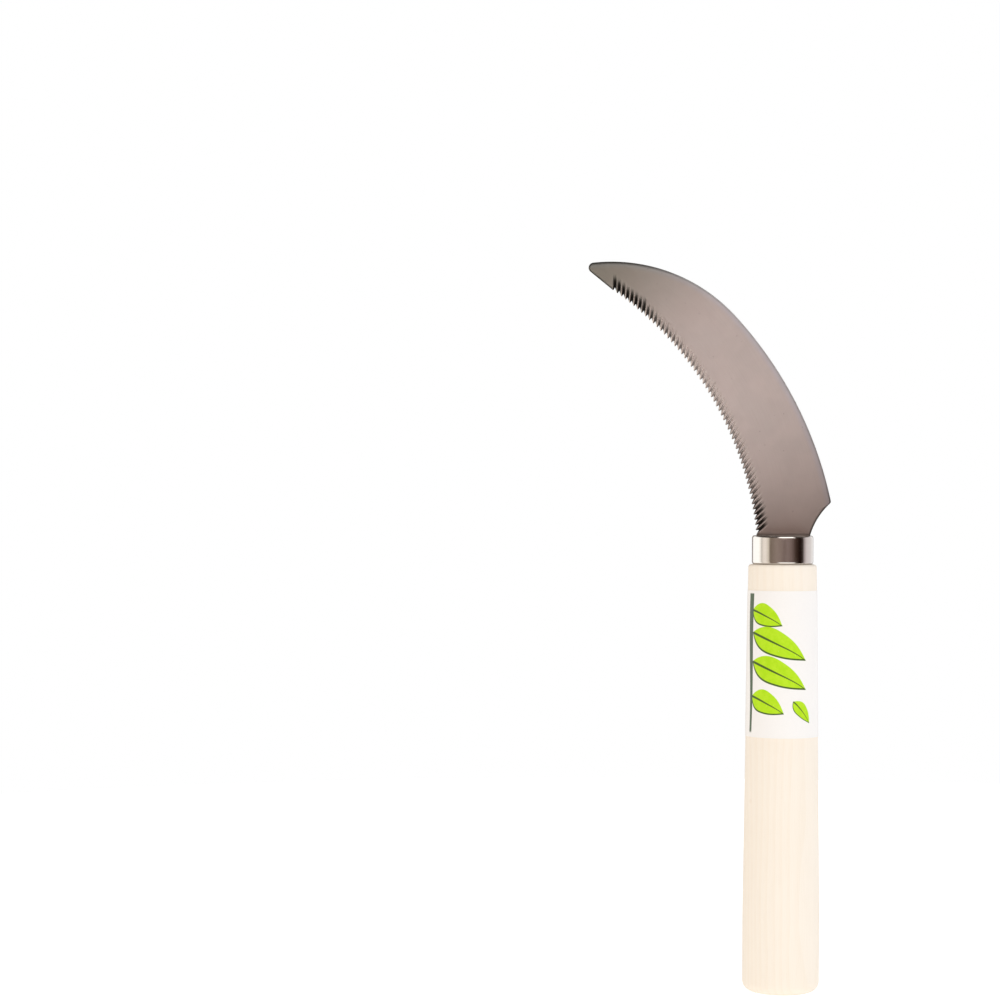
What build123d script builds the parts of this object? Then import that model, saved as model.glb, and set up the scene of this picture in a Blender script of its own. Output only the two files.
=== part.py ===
"""Hand sickle with a fine-toothed crescent blade, in millimetres.

A sheet-steel blade and its tang are one piece.  The tang is driven into a sawn kerf in a
turned wooden handle, a pressed steel ferrule squeezes the kerfed neck of the handle round it,
a cross pin keeps it from pulling out, and a printed paper label is wrapped over the pin.

Frame: +Z runs up the handle's axis, the blade lies in the XZ plane and hooks towards -X, and
the toothed face of the blade looks along -Y.  The origin is the centre of the butt face.
"""

import math
import os

from build123d import *

# ---------------------------------------------------------------- driving dimensions
# Handle, turned from one piece of wood.
HANDLE_LENGTH = 164.0  # butt face to the ledge that carries the ferrule
GRIP_RADIUS = 14.7  # straight lower part of the handle
GRIP_TOP = 30.0  # height where the straight part turns into the taper
LEDGE_WIDTH = 1.35  # how far the ledge under the ferrule stands out past it
BUTT_ROUNDING = 4.0
LEDGE_ROUNDING = 1.1

# Ferrule, a short steel ring pressed over the neck of the handle.
FERRULE_RADIUS = 11.75
FERRULE_WALL = 0.9
FERRULE_HEIGHT = 11.1
FERRULE_ROUNDING = 0.75  # outer rims
ROUNDING_LIMIT = 0.85  # share of the wall that this rounding may take
NECK_RECESS = 0.7  # wooden neck ends this far below the ferrule's rim

# Blade, sheet steel.
BLADE_THICKNESS = 1.4
NECK_CLEARANCE = 0.35  # each side, from the blade's neck to the ferrule's bore
HEEL_RISE = 12.8  # heel corner above the ferrule's rim
HEEL_REACH = 18.55  # heel corner out from the handle's axis
HEEL_ROUNDING = 1.0
HOLLOW_LEAN = 16.0  # degrees that the hollow under the heel leans out at the ferrule's rim
SPINE_RADIUS = 152.0  # lower part of the back of the blade
SPINE_LEAN = 12.05  # degrees that the back leans at the heel
SPINE_SWEEP = 30.75  # degrees of arc before the back tightens towards the tip
EDGE_RADIUS = 133.0  # toothed edge
EDGE_LEAN = 6.45  # degrees that the edge leans at the first tooth
EDGE_SETBACK = 0.2  # first tooth above the ferrule's rim
EDGE_INSET = 0.35  # first tooth in from the side of the neck
TIP_LENGTH = 15.6  # plain edge from the last tooth to the sharp corner of the point
TIP_SLOPE = 39.0  # degrees that this plain edge rises
NOSE_ROUNDING = 2.0  # the point is blunted to this radius

# Teeth: V grooves cut into the front face, thinned from the back by a bevel.
TOOTH_COUNT = 56
TOOTH_PITCH = 2.01
GROOVE_LENGTH = 5.6  # along the groove, from the edge to where it runs out
GROOVE_DEPTH = 0.72  # at the edge
GROOVE_LEAN = 33.0  # degrees from square to the edge, towards the tip
BEVEL_WIDTH = 3.6
EDGE_THICKNESS = 0.16

# Tang, the part of the blade inside the handle.
TANG_DEPTH = 52.0  # below the ferrule's ledge
TANG_ROOT_WIDTH = 15.0
TANG_END_WIDTH = 8.0
TANG_CLEARANCE = 0.3  # at the tang's edges and end; its faces are a driven fit
TANG_ROUNDING = 2.0

# Cross pin and label.
PIN_RADIUS = 1.25
PIN_DROP = 30.0  # pin below the ferrule's ledge
PIN_CLEARANCE = 0.1  # round the pin in the tang; in the wood it is a press fit
LABEL_DROP = 9.9  # label's top edge below the ferrule's ledge
LABEL_HEIGHT = 56.0
LABEL_THICKNESS = 0.15
LABEL_OVERLAP = 7.0  # width of the glued lap at the back

# ---------------------------------------------------------------- places worked out from them
RIM_Z = HANDLE_LENGTH + FERRULE_HEIGHT
LEDGE_RADIUS = FERRULE_RADIUS + LEDGE_WIDTH
FERRULE_BORE = FERRULE_RADIUS - FERRULE_WALL
NECK_HALF_WIDTH = FERRULE_BORE - NECK_CLEARANCE
TANG_END_Z = HANDLE_LENGTH - TANG_DEPTH
PIN_Z = HANDLE_LENGTH - PIN_DROP
LABEL_TOP_Z = HANDLE_LENGTH - LABEL_DROP
LABEL_FOOT_Z = LABEL_TOP_Z - LABEL_HEIGHT
FRONT_Y = -BLADE_THICKNESS / 2
BACK_Y = BLADE_THICKNESS / 2
OVERSHOOT = 2.0  # how far cutting tools reach past what they cut


def polar(radius, degrees):
    """Vector of that length in the blade's plane, at that angle from +X."""
    return Vector(radius * math.cos(math.radians(degrees)), radius * math.sin(math.radians(degrees)))


def handle_radius(z):
    """Radius of the turned handle at height z, without its end roundings."""
    if z <= GRIP_TOP:
        return GRIP_RADIUS
    return GRIP_RADIUS + (LEDGE_RADIUS - GRIP_RADIUS) * (z - GRIP_TOP) / (HANDLE_LENGTH - GRIP_TOP)


def in_section(*points):
    """Face in the XZ plane with those (x, z) corners."""
    return Plane.XZ * make_face(Polyline(*points, close=True))


# Key points of the blade's outline, as (x, z).
EDGE_START = Vector(EDGE_INSET - NECK_HALF_WIDTH, RIM_Z + EDGE_SETBACK)
EDGE_CENTRE = EDGE_START - polar(EDGE_RADIUS, EDGE_LEAN)
EDGE_SWEEP = math.degrees(TOOTH_COUNT * TOOTH_PITCH / EDGE_RADIUS)
EDGE_END = EDGE_CENTRE + polar(EDGE_RADIUS, EDGE_LEAN + EDGE_SWEEP)
TIP_CORNER = EDGE_END + polar(TIP_LENGTH, 180 - TIP_SLOPE)
HEEL_CORNER = Vector(HEEL_REACH, RIM_Z + HEEL_RISE)
SPINE_CENTRE = HEEL_CORNER - polar(SPINE_RADIUS, SPINE_LEAN)
SPINE_JOIN_ANGLE = SPINE_LEAN + SPINE_SWEEP
SPINE_JOIN = SPINE_CENTRE + polar(SPINE_RADIUS, SPINE_JOIN_ANGLE)


def crescent():
    """Outline of the blade above the ledge, as a face: neck, toothed edge, tip, back and heel."""
    neck_left = Vector(-NECK_HALF_WIDTH, HANDLE_LENGTH)
    neck_right = Vector(NECK_HALF_WIDTH, HANDLE_LENGTH)
    hollow_start = Vector(NECK_HALF_WIDTH, RIM_Z)
    outline = [
        Line(neck_left, EDGE_START),
        CenterArc(EDGE_CENTRE, EDGE_RADIUS, EDGE_LEAN, EDGE_SWEEP),
        Line(EDGE_END, TIP_CORNER),
        TangentArc(SPINE_JOIN, TIP_CORNER, tangent=polar(1, SPINE_JOIN_ANGLE + 90)),
        CenterArc(SPINE_CENTRE, SPINE_RADIUS, SPINE_LEAN, SPINE_SWEEP),
        TangentArc(hollow_start, HEEL_CORNER, tangent=polar(1, 90 - HOLLOW_LEAN)),
        Line(hollow_start, neck_right),
        Line(neck_right, neck_left),
    ]
    face = make_face(outline)
    face = fillet(face.vertices().sort_by_distance(TIP_CORNER)[0], NOSE_ROUNDING)
    return fillet(face.vertices().sort_by_distance(HEEL_CORNER)[0], HEEL_ROUNDING)


def tang_outline(clearance=0.0):
    """Tapered tongue below the ledge, as a face; clearance widens and deepens it."""
    root = TANG_ROOT_WIDTH / 2 + clearance
    end = TANG_END_WIDTH / 2 + clearance
    foot = TANG_END_Z - clearance
    tongue = make_face(
        Polyline((-root, HANDLE_LENGTH), (-end, foot), (end, foot), (root, HANDLE_LENGTH), close=True)
    )
    ends = tongue.vertices().group_by(Axis.Y)[0]
    return fillet(ends, TANG_ROUNDING)


def plate(face):
    """The face, drawn in (x, z), as a plate as thick as the blade and centred on y = 0."""
    return extrude(Plane.XZ * face, BLADE_THICKNESS / 2, both=True)


def back_bevel():
    """What the grinder takes off the back face along the toothed edge and the plain tip edge."""
    depth = BLADE_THICKNESS - EDGE_THICKNESS
    slope = depth / BEVEL_WIDTH
    outside = -OVERSHOOT  # the tool starts outside the edge, deeper by the same slope
    profile = [
        (outside, BACK_Y - depth + slope * outside),
        (BEVEL_WIDTH, BACK_Y),
        (BEVEL_WIDTH, BACK_Y + OVERSHOOT),
        (outside, BACK_Y + OVERSHOOT),
    ]
    section = Plane(origin=(EDGE_CENTRE.X, 0, EDGE_CENTRE.Y), x_dir=(1, 0, 0), z_dir=(0, 0, 1))
    ring_face = section * make_face(Polyline(*[(EDGE_RADIUS + w, y) for w, y in profile], close=True))
    ring_axis = Axis((EDGE_CENTRE.X, 0, EDGE_CENTRE.Y), (0, -1, 0))
    start = EDGE_LEAN - math.degrees(OVERSHOOT / EDGE_RADIUS)
    ring = revolve(ring_face.rotate(ring_axis, start), ring_axis, EDGE_LEAN + EDGE_SWEEP - start)
    along = polar(1, 180 - TIP_SLOPE)
    into_blade = polar(1, 90 - TIP_SLOPE)
    tip_plane = Plane(
        origin=(EDGE_END.X, 0, EDGE_END.Y),
        x_dir=(into_blade.X, 0, into_blade.Y),
        z_dir=(-along.X, 0, -along.Y),
    )
    tip_face = tip_plane * make_face(Polyline(*profile, close=True))
    return ring, extrude(tip_face, -(TIP_LENGTH + OVERSHOOT))


def groove(index):
    """V groove number index, counted from the heel, as the solid that its cutter takes out.

    It is a tetrahedron-like wedge: a triangle just outside the edge, running out at a point on
    the front face.
    """
    angle = EDGE_LEAN + math.degrees((index + 0.5) * TOOTH_PITCH / EDGE_RADIUS)
    foot = EDGE_CENTRE + polar(EDGE_RADIUS, angle)
    direction = polar(1, angle + GROOVE_LEAN)
    across = polar(1, angle + 90)
    grow = (GROOVE_LENGTH + OVERSHOOT) / GROOVE_LENGTH
    start = foot - direction * OVERSHOOT
    runout = foot + direction * GROOVE_LENGTH
    half = across * (TOOTH_PITCH / 2 * grow)
    corners = [start - half, start + half]
    top = [Vector(p.X, FRONT_Y, p.Y) for p in corners]
    low = Vector(start.X, FRONT_Y + GROOVE_DEPTH * grow, start.Y)
    end = Vector(runout.X, FRONT_Y, runout.Y)
    faces = [
        Face(Wire.make_polygon(loop))
        for loop in (
            [top[0], top[1], low],
            [top[0], low, end],
            [top[1], low, end],
            [top[0], top[1], end],
        )
    ]
    return Solid(Shell(faces))


def blade():
    """Toothed crescent, neck and tang, all one piece of sheet steel."""
    body = plate(crescent()) + plate(tang_outline())
    body -= list(back_bevel())
    body -= [groove(i) for i in range(TOOTH_COUNT)]
    hole = Cylinder(PIN_RADIUS + PIN_CLEARANCE, BLADE_THICKNESS + 2 * OVERSHOOT)
    return body - Pos(0, 0, PIN_Z) * Rot(90, 0, 0) * hole


def turned_blank():
    """Handle as it leaves the lathe, before it is sawn and drilled."""
    body = revolve(
        in_section(
            (0, 0),
            (GRIP_RADIUS, 0),
            (GRIP_RADIUS, GRIP_TOP),
            (LEDGE_RADIUS, HANDLE_LENGTH),
            (0, HANDLE_LENGTH),
        ),
        Axis.Z,
    )
    rims = body.edges().filter_by(GeomType.CIRCLE).sort_by(Axis.Z)
    body = fillet(rims[-1], LEDGE_ROUNDING)
    rims = body.edges().filter_by(GeomType.CIRCLE).sort_by(Axis.Z)
    return fillet(rims[0], BUTT_ROUNDING)


def handle():
    """Turned handle with its neck, the sawn kerf, the tang's pocket and the pin's hole."""
    neck_top = RIM_Z - NECK_RECESS
    neck_height = neck_top - HANDLE_LENGTH
    neck = Pos(0, 0, HANDLE_LENGTH + neck_height / 2) * Cylinder(FERRULE_BORE, neck_height)
    kerf = Pos(0, 0, HANDLE_LENGTH + neck_height / 2) * Box(
        2 * FERRULE_RADIUS, BLADE_THICKNESS, neck_height
    )
    body = turned_blank() + neck - kerf - plate(tang_outline(TANG_CLEARANCE))
    return body - pin_bar()


def pin_bar():
    """Bar that the cross pin is cut from, longer than the handle is thick."""
    return Pos(0, 0, PIN_Z) * Rot(90, 0, 0) * Cylinder(PIN_RADIUS, 2 * (GRIP_RADIUS + OVERSHOOT))


def cross_pin():
    """Steel pin through the handle and the tang, filed flush with the wood."""
    return pin_bar() & turned_blank()


def ferrule():
    """Pressed ring round the neck, both its outer rims rounded over."""
    outside = Cylinder(FERRULE_RADIUS, FERRULE_HEIGHT)
    rims = outside.edges().filter_by(GeomType.CIRCLE)
    outside = fillet(rims, min(FERRULE_ROUNDING, ROUNDING_LIMIT * FERRULE_WALL))
    ring = outside - Cylinder(FERRULE_BORE, FERRULE_HEIGHT)
    return Pos(0, 0, HANDLE_LENGTH + FERRULE_HEIGHT / 2) * ring


def wrap(lift, sweep):
    """One turn of paper of that sweep in degrees, lying that far off the wood, ending at the back."""
    heights = [LABEL_FOOT_Z, LABEL_TOP_Z]
    if LABEL_FOOT_Z < GRIP_TOP < LABEL_TOP_Z:
        heights.insert(1, GRIP_TOP)  # the paper follows the handle where its taper starts
    inside = [(handle_radius(z) + lift, z) for z in heights]
    outside = [(radius + LABEL_THICKNESS, z) for radius, z in reversed(inside)]
    strip = in_section(*inside, *outside)
    return revolve(strip.rotate(Axis.Z, 90), Axis.Z, sweep)


def label():
    """Paper label right round the handle, with its end lapped over its start at the back."""
    lap_sweep = math.degrees(LABEL_OVERLAP / handle_radius(LABEL_TOP_Z))
    return wrap(0, 360) + wrap(LABEL_THICKNESS, lap_sweep)


def main():
    """Builds every piece and writes one STEP file for each."""
    os.makedirs("parts", exist_ok=True)
    pieces = {
        "blade": blade(),
        "ferrule": ferrule(),
        "handle": handle(),
        "cross_pin": cross_pin(),
        "label": label(),
    }
    for name, shape in pieces.items():
        export_step(shape, f"parts/{name}.step")
        print(name, "solids", len(shape.solids()), "volume", round(shape.volume, 1))


main()
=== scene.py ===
"""Looks of a hand sickle: toothed crescent blade, ferrule, turned handle, wrapped label and tang pin.

Lengths are in metres, and in millimetres inside the finishes.  +Z runs up the handle's axis, the
blade lies in the XZ plane with its point towards -X, and its toothed face looks along -Y.  The
origin is the centre of the butt face.
"""

from __future__ import annotations

import logging
import math
import sys
from dataclasses import dataclass, fields
from enum import Enum

import bmesh
import bpy
import numpy as np
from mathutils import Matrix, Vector

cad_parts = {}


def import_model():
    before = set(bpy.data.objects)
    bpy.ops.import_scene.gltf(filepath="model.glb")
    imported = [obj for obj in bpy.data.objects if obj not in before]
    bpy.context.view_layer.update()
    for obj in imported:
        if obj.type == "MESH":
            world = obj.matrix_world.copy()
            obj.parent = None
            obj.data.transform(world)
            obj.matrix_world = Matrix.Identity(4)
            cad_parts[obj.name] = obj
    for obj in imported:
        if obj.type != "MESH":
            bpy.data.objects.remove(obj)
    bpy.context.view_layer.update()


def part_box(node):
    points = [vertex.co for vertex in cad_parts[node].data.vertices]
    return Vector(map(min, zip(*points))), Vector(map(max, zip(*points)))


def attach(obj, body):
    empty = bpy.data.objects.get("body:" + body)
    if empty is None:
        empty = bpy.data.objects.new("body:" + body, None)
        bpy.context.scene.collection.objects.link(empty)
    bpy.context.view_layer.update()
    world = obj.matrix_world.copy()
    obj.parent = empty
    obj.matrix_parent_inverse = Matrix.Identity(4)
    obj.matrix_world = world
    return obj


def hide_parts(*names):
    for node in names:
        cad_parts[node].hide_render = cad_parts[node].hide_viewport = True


log = logging.getLogger("sickle")

MM = 0.001
BODY = "root"
SEED = 20
MERGE_DISTANCE = 1e-7
TINY = 1e-12
LEAST_SQUARENESS = 0.2
SIDE_GAP = 40.0

Colour = tuple[float, float, float]
Span = tuple[float, float]


class Side(Enum):
    """The two broad faces of the blade."""

    FRONT = -1
    BACK = 1


# ------------------------------------------------------------------------------- plane geometry


def unit(degrees: float | np.ndarray) -> np.ndarray:
    """Unit vectors at those angles from the first axis.

    Args:
        degrees: one angle or an array of them.

    Returns:
        Array whose last axis is (cosine, sine).
    """
    angle = np.radians(degrees)
    return np.stack([np.cos(angle), np.sin(angle)], axis=-1)


def smooth_ramp(value: np.ndarray, low: float, high: float | np.ndarray) -> np.ndarray:
    """Three t squared less two t cubed, where t runs from 0 at low to 1 at high.

    Args:
        value: where the ramp is read.
        low: value at which it leaves 0.
        high: value at which it reaches 1.

    Returns:
        The ramp, from 0 to 1.
    """
    t = np.clip((value - low) / (high - low), 0.0, 1.0)
    return t * t * (3.0 - 2.0 * t)


def meet(centre_a: np.ndarray, radius_a: float, centre_b: np.ndarray, radius_b: float,
         near: np.ndarray) -> np.ndarray:
    """Point where two circles cross.

    The crossing lies on the line of centres at (a squared - b squared + d squared) / 2d from the
    first centre, and off it by what Pythagoras leaves of the first radius.

    Args:
        centre_a: first centre.
        radius_a: first radius.
        centre_b: second centre.
        radius_b: second radius.
        near: the crossing nearest to this point is taken.

    Returns:
        The crossing.
    """
    between = centre_b - centre_a
    distance = np.hypot(*between)
    along = (radius_a**2 - radius_b**2 + distance**2) / (2 * distance)
    off = math.sqrt(max(radius_a**2 - along**2, 0.0))
    ahead = between / distance
    aside = np.array([-ahead[1], ahead[0]])
    found = [centre_a + along * ahead + sign * off * aside for sign in (-1, 1)]
    return min(found, key=lambda point: np.hypot(*(point - near)))


def arc(centre: np.ndarray, radius: float, start: float, end: float, count: int) -> np.ndarray:
    """Points on a circle: centre plus radius times the unit vector, over evenly spaced angles."""
    return centre + radius * unit(np.linspace(start, end, count))


def angle_of(vector: np.ndarray) -> float:
    """Angle of a vector in degrees, from -180 to 180."""
    return math.degrees(math.atan2(vector[1], vector[0]))


def evenly(path: np.ndarray, share: np.ndarray) -> np.ndarray:
    """Points at those shares of a polyline's length.

    Args:
        path: the polyline, one point to a row.
        share: shares of its length, from 0 to 1.

    Returns:
        One point for each share.
    """
    run = np.concatenate([[0.0], np.cumsum(np.hypot(*np.diff(path, axis=0).T))])
    return np.stack([np.interp(share * run[-1], run, path[:, k]) for k in (0, 1)], axis=-1)


def spans(*stretches: tuple[np.ndarray, np.ndarray, int]) -> np.ndarray:
    """Row positions that fill stretches laid end to end, for every column at once.

    A stretch from a to b with n rows puts row k at a + (b - a) * k / n, and the last b is added.

    Args:
        stretches: start, end and row count of each, where start and end hold one value a column.

    Returns:
        Array of one row of positions for each column.
    """
    rows = [start[:, None] + (end - start)[:, None] * (np.arange(count) / count)
            for start, end, count in stretches]
    return np.concatenate([*rows, stretches[-1][1][:, None]], axis=1)


# ------------------------------------------------------------------------------- mesh making


def grid_quads(rows: int, columns: int, wrap_columns: bool) -> np.ndarray:
    """Quads of a grid whose vertex in row i and column j has number i times columns plus j.

    Args:
        rows: number of rows.
        columns: number of vertices in a row.
        wrap_columns: whether the last column joins the first.

    Returns:
        Vertex numbers, four to a row.
    """
    i = np.arange(rows - 1)[:, None]
    j = np.arange(columns if wrap_columns else columns - 1)[None, :]
    right = (j + 1) % columns
    corners = [i * columns + j, (i + 1) * columns + j, (i + 1) * columns + right, i * columns + right]
    return np.stack(np.broadcast_arrays(*corners), axis=-1).reshape(-1, 4)


def make_piece(name: str, vertices: np.ndarray, faces: np.ndarray, crease: float,
               marks: dict[str, np.ndarray] | None = None) -> bpy.types.Object:
    """Closed mesh object from arrays, merged, turned outwards and shaded smooth between creases.

    Args:
        name: the object's name.
        vertices: one (x, y, z) to a row.
        faces: vertex numbers, four to a row.
        crease: degrees past which an edge stays sharp.
        marks: point attributes by name, of one or three numbers a vertex.

    Returns:
        The object, in the scene and at the origin.
    """
    mesh = bpy.data.meshes.new(name)
    mesh.vertices.add(len(vertices))
    mesh.vertices.foreach_set("co", np.ascontiguousarray(vertices, np.float32).ravel())
    mesh.loops.add(faces.size)
    mesh.loops.foreach_set("vertex_index", np.ascontiguousarray(faces, np.int32).ravel())
    mesh.polygons.add(len(faces))
    mesh.polygons.foreach_set("loop_start", np.arange(0, faces.size, faces.shape[1], dtype=np.int32))
    mesh.update(calc_edges=True)
    for label, values in (marks or {}).items():
        kind, key = ("FLOAT_VECTOR", "vector") if values.ndim == 2 else ("FLOAT", "value")
        layer = mesh.attributes.new(label, kind, "POINT")
        layer.data.foreach_set(key, np.ascontiguousarray(values, np.float32).ravel())
    seal(mesh)
    crease_shading(mesh, crease)
    piece = bpy.data.objects.new(name, mesh)
    bpy.context.scene.collection.objects.link(piece)
    return piece


def seal(mesh: bpy.types.Mesh) -> None:
    """Merges vertices that coincide and turns every face outwards.

    Args:
        mesh: the mesh to change.
    """
    work = bmesh.new()
    work.from_mesh(mesh)
    bmesh.ops.remove_doubles(work, verts=work.verts, dist=MERGE_DISTANCE)
    bmesh.ops.recalc_face_normals(work, faces=work.faces)
    work.to_mesh(mesh)
    work.free()


def crease_shading(mesh: bpy.types.Mesh, crease: float) -> None:
    """Shades a mesh smooth, with sharp edges where faces turn past the crease angle.

    Args:
        mesh: the mesh to shade.
        crease: degrees past which an edge stays sharp.
    """
    mesh.polygons.foreach_set("use_smooth", np.ones(len(mesh.polygons), bool))
    mesh.set_sharp_from_angle(angle=math.radians(crease))


def two_skins(name: str, front: np.ndarray, back: np.ndarray, crease: float,
              marks: dict[str, tuple[np.ndarray, np.ndarray]] | None = None) -> bpy.types.Object:
    """Thin closed piece between two skins on the same grid, with walls all round.

    Each column of points runs over the front skin and home over the back one, so the loop closes
    through both side walls, and the first and last columns are zipped shut.

    Args:
        name: the object's name.
        front: points of the front skin, as columns by rows by 3.
        back: points of the back skin, on the same grid.
        crease: degrees past which an edge stays sharp.
        marks: for each attribute, its values on the front and on the back skin.

    Returns:
        The object.
    """
    columns, rows = front.shape[:2]
    around = 2 * rows

    def loop(a: np.ndarray, b: np.ndarray) -> np.ndarray:
        """Front values followed by back values in reverse, one loop to a column."""
        joined = np.concatenate([a, b[:, ::-1]], axis=1)
        return joined.reshape(columns * around, *joined.shape[2:])

    j = np.arange(rows - 1)
    zipped = np.stack([j, j + 1, around - 2 - j, around - 1 - j], axis=-1)
    faces = np.concatenate([grid_quads(columns, around, True), zipped, zipped + (columns - 1) * around])
    values = {label: loop(*pair) for label, pair in (marks or {}).items()}
    return make_piece(name, loop(front, back), faces, crease, values)


def turned(name: str, profile: np.ndarray, segments: int, crease: float) -> bpy.types.Object:
    """Surface that a profile sweeps round the Z axis: (r cos a, r sin a, z) over the angle a.

    Args:
        name: the object's name.
        profile: (radius, height) points, from pole to pole or closed on itself.
        segments: number of steps round the axis.
        crease: degrees past which an edge stays sharp.

    Returns:
        The object.
    """
    angle = np.arange(segments) * 2 * math.pi / segments
    x = profile[:, :1] * np.cos(angle)
    y = profile[:, :1] * np.sin(angle)
    z = np.broadcast_to(profile[:, 1:], x.shape)
    vertices = np.stack([x, y, z], axis=-1).reshape(-1, 3)
    return make_piece(name, vertices, grid_quads(len(profile), segments, True), crease)


def slab(name: str, outline: np.ndarray, low: float, high: float) -> bpy.types.Object:
    """Outline in the XZ plane, convex enough for one face a side, drawn out from y low to y high.

    Args:
        name: the object's name.
        outline: (x, z) points in order.
        low: y of one face.
        high: y of the other.

    Returns:
        The object.
    """
    count = len(outline)
    rings = [np.column_stack([outline[:, 0], np.full(count, y), outline[:, 1]]) for y in (low, high)]
    mesh = bpy.data.meshes.new(name)
    walls = grid_quads(2, count, True).tolist()
    lids = [list(range(count)), list(range(2 * count - 1, count - 1, -1))]
    mesh.from_pydata(np.concatenate(rings).tolist(), [], walls + lids)
    seal(mesh)
    piece = bpy.data.objects.new(name, mesh)
    bpy.context.scene.collection.objects.link(piece)
    return piece


def pin_outline(radius: float, height: float, segments: int) -> np.ndarray:
    """Circle of that radius round (0, height) in the XZ plane."""
    return np.array([0.0, height]) + radius * unit(np.arange(segments) * 360.0 / segments)


def carve(piece: bpy.types.Object, cutter: bpy.types.Object, crease: float) -> None:
    """Takes the cutter's volume out of a piece for good, and removes the cutter.

    Args:
        piece: what is cut.
        cutter: what cuts it.
        crease: degrees past which an edge stays sharp.
    """
    cut = piece.modifiers.new("cut", "BOOLEAN")
    cut.operation = "DIFFERENCE"
    cut.solver = "EXACT"
    cut.object = cutter
    seen = piece.evaluated_get(bpy.context.evaluated_depsgraph_get())
    mesh = bpy.data.meshes.new_from_object(seen)
    piece.modifiers.clear()
    old, piece.data = piece.data, mesh
    mesh.name = piece.name
    bpy.data.meshes.remove(old)
    shape = cutter.data
    bpy.data.objects.remove(cutter)
    bpy.data.meshes.remove(shape)
    crease_shading(mesh, crease)


# ------------------------------------------------------------------------------- shader wiring


class Wiring:
    """Adds nodes to one tree and joins them, so that a finish reads as a list of steps."""

    def __init__(self, tree: bpy.types.NodeTree) -> None:
        """Starts on a tree.

        Args:
            tree: the tree that every node goes into.
        """
        self.tree = tree

    def feed(self, socket: bpy.types.NodeSocket, value: object) -> None:
        """Links a socket from another, or sets it to a plain value.

        Args:
            socket: the input that is fed.
            value: a socket, a number, a vector or a colour.
        """
        if isinstance(value, bpy.types.NodeSocket):
            self.tree.links.new(value, socket)
        elif socket.type == "RGBA" and len(value) == 3:
            socket.default_value = (*value, 1.0)
        else:
            socket.default_value = value

    def add(self, kind: str, inputs: dict[str | int, object] | None = None,
            **settings: object) -> bpy.types.Node:
        """Adds a node.

        Args:
            kind: the node's class name, without ShaderNode.
            inputs: values or sockets for its inputs, by name or number.
            settings: the node's own settings.

        Returns:
            The node.
        """
        node = self.tree.nodes.new("ShaderNode" + kind)
        for key, value in settings.items():
            setattr(node, key, value)
        for key, value in (inputs or {}).items():
            self.feed(node.inputs[key], value)
        return node

    def math(self, operation: str, *values: object, clamp: bool = False) -> bpy.types.NodeSocket:
        """Result of one arithmetic step on numbers."""
        return self.add("Math", dict(enumerate(values)), operation=operation, use_clamp=clamp).outputs[0]

    def vector(self, operation: str, *values: object) -> bpy.types.NodeSocket:
        """Result of one arithmetic step on vectors."""
        return self.add("VectorMath", dict(enumerate(values)), operation=operation).outputs[0]

    def ramp(self, value: object, low: object, high: object, start: float = 0.0,
             end: float = 1.0) -> bpy.types.NodeSocket:
        """Smooth step from start at low to end at high.

        Args:
            value: where the step is read.
            low: value at which it leaves start.
            high: value at which it reaches end.
            start: result up to low.
            end: result from high on.

        Returns:
            The result's socket.
        """
        node = self.add("MapRange", {0: value, 1: low, 2: high, 3: start, 4: end},
                        interpolation_type="SMOOTHSTEP")
        return node.outputs[0]

    def blend(self, share: object, first: object, second: object,
              mode: str = "MIX") -> bpy.types.NodeSocket:
        """Colour that goes from first to second as share goes from 0 to 1.

        Args:
            share: how much of the second colour is laid on.
            first: colour at 0.
            second: colour at 1.
            mode: how the second is laid on the first.

        Returns:
            The colour's socket.
        """
        node = self.add("Mix", {0: share, 6: first, 7: second}, data_type="RGBA", blend_type=mode)
        return node.outputs[2]

    def noise(self, where: object, scale: float, detail: float = 3.0,
              roughness: float = 0.5) -> bpy.types.NodeSocket:
        """Soft noise from 0 to 1 at a place.

        Args:
            where: the place.
            scale: cells to one unit of it.
            detail: number of finer layers.
            roughness: strength of each finer layer.

        Returns:
            The noise's socket.
        """
        inputs = {"Vector": where, "Scale": scale, "Detail": detail, "Roughness": roughness}
        return self.add("TexNoise", inputs).outputs[0]

    def times(self, first: object, second: object) -> bpy.types.NodeSocket:
        """Product of two numbers."""
        return self.math("MULTIPLY", first, second)

    def tint(self, mask: object, strength: float, colour: object, other: object) -> bpy.types.NodeSocket:
        """Colour that goes towards another by a mask times a strength."""
        return self.blend(self.times(mask, strength), colour, other)

    def raised(self, value: object, mask: object, amount: float) -> bpy.types.NodeSocket:
        """Value plus a mask times an amount."""
        return self.math("ADD", value, self.times(mask, amount))

    def grey(self, value: object) -> bpy.types.NodeSocket:
        """Grey colour of that value."""
        return self.add("CombineColor", {0: value, 1: value, 2: value}).outputs[0]

    def numbers(self, vector: object) -> list[bpy.types.NodeSocket]:
        """The three numbers of a vector."""
        return self.add("SeparateXYZ", {0: vector}).outputs[:3]

    def together(self, *numbers: object) -> bpy.types.NodeSocket:
        """Vector of up to three numbers."""
        return self.add("CombineXYZ", dict(enumerate(numbers))).outputs[0]

    def dress(self, shader: bpy.types.Node, colour: object, rough: object, relief: object, depth: float,
              strength: float, constants: dict[str, float]) -> None:
        """Feeds a shader its colour, roughness and bump, and sets what is the same all over.

        Args:
            shader: the material's Principled BSDF.
            colour: base colour.
            rough: roughness.
            relief: height of the surface, where 1 stands for the depth.
            depth: depth of the relief in metres.
            strength: strength of the bump.
            constants: plain values of other inputs, by name.
        """
        bump = self.add("Bump", {"Height": relief, "Distance": depth, "Strength": strength})
        self.feed(shader.inputs["Base Color"], colour)
        self.feed(shader.inputs["Roughness"], rough)
        self.feed(shader.inputs["Normal"], bump.outputs[0])
        for name, value in constants.items():
            shader.inputs[name].default_value = value

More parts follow.
